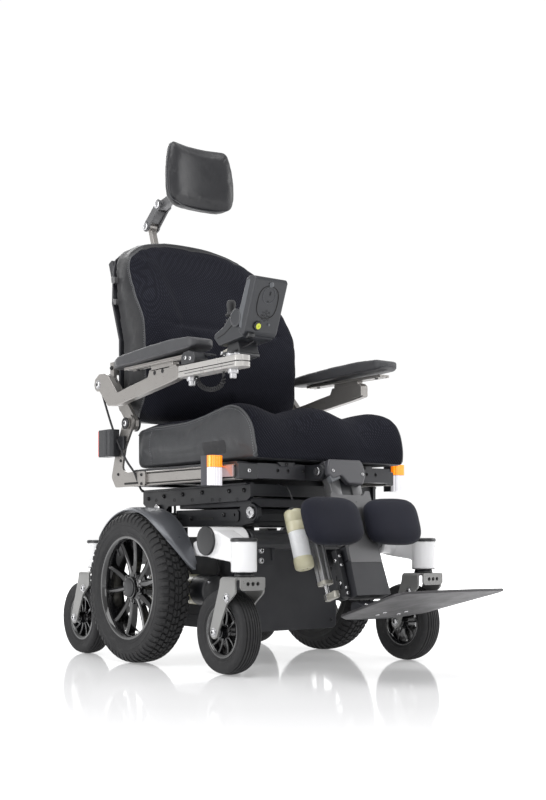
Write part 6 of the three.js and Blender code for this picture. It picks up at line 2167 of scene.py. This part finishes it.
coil("joystick_coil", [(-284, -350, 620), (-284, -347, 605), (-284, -328, 596), (-285, -298, 596), (-286, -268, 608), (-287, -250, 632)], 4.2, 20, 1.5, ("armrest_right", "joystick_link", (-0.287, -0.252, 0.628), (-0.284, -0.350, 0.616)))
cable("joystick_lead", [(-284, -350, 630), (-284, -350, 618)], 2.6, body="joystick_link")
cable("joystick_tail", [(-287, -251, 630), (-287.5, -247, 642), (-288, -244, 656)], 2.4, body="armrest_right")
cable("seat_lead", [(-258.2, 198, 638), (-258, 178, 600), (-258, 150, 552), (-257, 118, 505), (-255, 88, 468), (-252, 66, 446)], 2.6, blend=("seat", "back", (-0.255, 0.105, 0.49), (-0.26, 0.16, 0.57)))
cable("seat_lead_tail", [(-252, 66, 446), (-249, 60, 436), (-240, 50, 402), (-226, 60, 396)], 2.6, body="seat")
cable("lift_lead", [(-100, -300, 404), (-112, -340, 396), (-120, -362, 384), (-120, -372, 366)], 1.6, blend=("seat", "legrest", (-0.11, -0.33, 0.4), (-0.12, -0.372, 0.368)))
cable("knee_lead", [(70, -338, 412), (84, -352, 396), (88, -362, 372), (76, -372, 350)], 1.8, blend=("seat", "legrest", (0.08, -0.34, 0.41), (0.08, -0.37, 0.35)))
for i, x in enumerate((-130, -118, 96)):
    cable(f"base_lead_{i}", [(x, 60, 300), (x - 6, 84, 330), (x + 4, 96, 352), (x, 92, 376)], 3.0, blend=("chassis", "seat", (x * MM, 0.07, 0.31), (x * MM, 0.09, 0.37)))
cable("pod_lead", [(-247, -404, 688), (-262, -396, 676), (-282, -372, 664), (-286, -340, 655)], 2.2, body="joystick_module")


# ------------------------------------------------------------ to the shared origin
SHIFT = Matrix.Translation((0, AXLE * MM, 0))
CAD_OBJECTS = set(o.name for o in NODES.values())
for o in list(bpy.context.scene.objects):
    if o.type == "MESH" and o.name not in CAD_OBJECTS:
        o.data.transform(SHIFT)
for o, (a_, b_, s_, e_), slot_ in BLENDS:
    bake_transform(o)


# ------------------------------------------------------------ studio
def studio():
    me = bpy.data.meshes.new("floor")
    s = 30.0
    me.from_pydata([(-s, -s, 0), (s, -s, 0), (s, s, 0), (-s, s, 0)], [], [(0, 1, 2, 3)])
    fl = bpy.data.objects.new("floor", me)
    COL.objects.link(fl)
    m = Mat("floor_gloss_painted_glow")
    # the floor glows by emission (painted light): weak near the chair, strong further out, so it reads as clipped white
    m.set(color=(0.80, 0.80, 0.81), spec=0.5, rough=m.remap(m.noise(2.0, 3, 0.5), 0.3, 0.7, 0.05, 0.08), emit=(1, 1, 1))
    sep = m.node("ShaderNodeSeparateXYZ")
    m.link(m.obj, sep.inputs[0])
    far = m.math("SQRT", m.math("ADD", m.math("MULTIPLY", sep.outputs[0], sep.outputs[0]), m.math("MULTIPLY", sep.outputs[1], sep.outputs[1])))
    m.set(emits=m.remap(far, 0.8, 3.2, 0.26, 0.95))
    me.materials.append(m.m)
    w = bpy.data.worlds.new("sky")
    bpy.context.scene.world = w
    w.use_nodes = True
    nt = w.node_tree
    bg = nt.nodes["Background"]
    bg.inputs[0].default_value = (1.0, 1.0, 1.0, 1)
    lp = nt.nodes.new("ShaderNodeLightPath")
    tc = nt.nodes.new("ShaderNodeTexCoord")
    sep = nt.nodes.new("ShaderNodeSeparateXYZ")
    nt.links.new(tc.outputs["Generated"], sep.inputs[0])
    up = nt.nodes.new("ShaderNodeMapRange")
    nt.links.new(sep.outputs[2], up.inputs["Value"])
    for k, x in zip(("From Min", "From Max", "To Min", "To Max"), (-0.1, 0.9, 0.30, 0.62)):
        up.inputs[k].default_value = x
    gl = nt.nodes.new("ShaderNodeMapRange")
    nt.links.new(sep.outputs[2], gl.inputs["Value"])
    for k, x in zip(("From Min", "From Max", "To Min", "To Max"), (0.05, 0.8, 1.0, 0.55)):
        gl.inputs[k].default_value = x
    pg = nt.nodes.new("ShaderNodeMix")
    pg.data_type = "FLOAT"
    nt.links.new(lp.outputs["Is Glossy Ray"], pg.inputs[0])
    nt.links.new(up.outputs[0], pg.inputs[2])
    nt.links.new(gl.outputs[0], pg.inputs[3])
    pick = nt.nodes.new("ShaderNodeMix")
    pick.data_type = "FLOAT"
    nt.links.new(lp.outputs["Is Camera Ray"], pick.inputs[0])
    nt.links.new(pg.outputs[0], pick.inputs[2])
    pick.inputs[3].default_value = 1.02
    nt.links.new(pick.outputs[0], bg.inputs[1])

    def area(name, loc, target, size, power, color=(1, 1, 1), sy=None):
        d = bpy.data.lights.new(name, "AREA")
        d.energy = power
        d.shape = "RECTANGLE"
        d.size = size
        d.size_y = sy or size
        d.color = color
        o = bpy.data.objects.new(name, d)
        COL.objects.link(o)
        o.location = loc
        o.rotation_euler = (Vector(target) - Vector(loc)).to_track_quat("-Z", "Y").to_euler()
        return o

    area("key_top", (-0.6, -0.8, 3.6), (0, 0, 0.6), 3.0, 95)
    area("side_left", (-3.6, 0.6, 1.6), (0, 0, 0.6), 1.6, 62, sy=2.6)
    area("front_fill", (-0.6, -4.6, 1.2), (0, 0, 0.5), 2.2, 22, sy=1.4)
    area("side_right", (3.4, -1.6, 1.9), (0, 0, 0.6), 1.4, 48, sy=2.4)
    area("back_rim", (0.8, 3.2, 2.2), (0, 0, 0.8), 2.4, 60, sy=1.6)
    sc = bpy.context.scene
    sc.view_settings.view_transform = "Standard"
    sc.view_settings.look = "None"
    sc.view_settings.exposure = 0.0


studio()
cam = bpy.data.cameras.new("camera")
co = bpy.data.objects.new("camera", cam)
COL.objects.link(co)
co.location = (-1.7135, -2.373 + AXLE * MM, 0.2815)
co.rotation_euler = (math.radians(90), 0, math.radians(-37.6))
cam.sensor_width = 36
cam.lens = 54.08
cam.shift_x = 0.0
cam.shift_y = 0.1746
cam.clip_start = 0.05
bpy.context.scene.camera = co
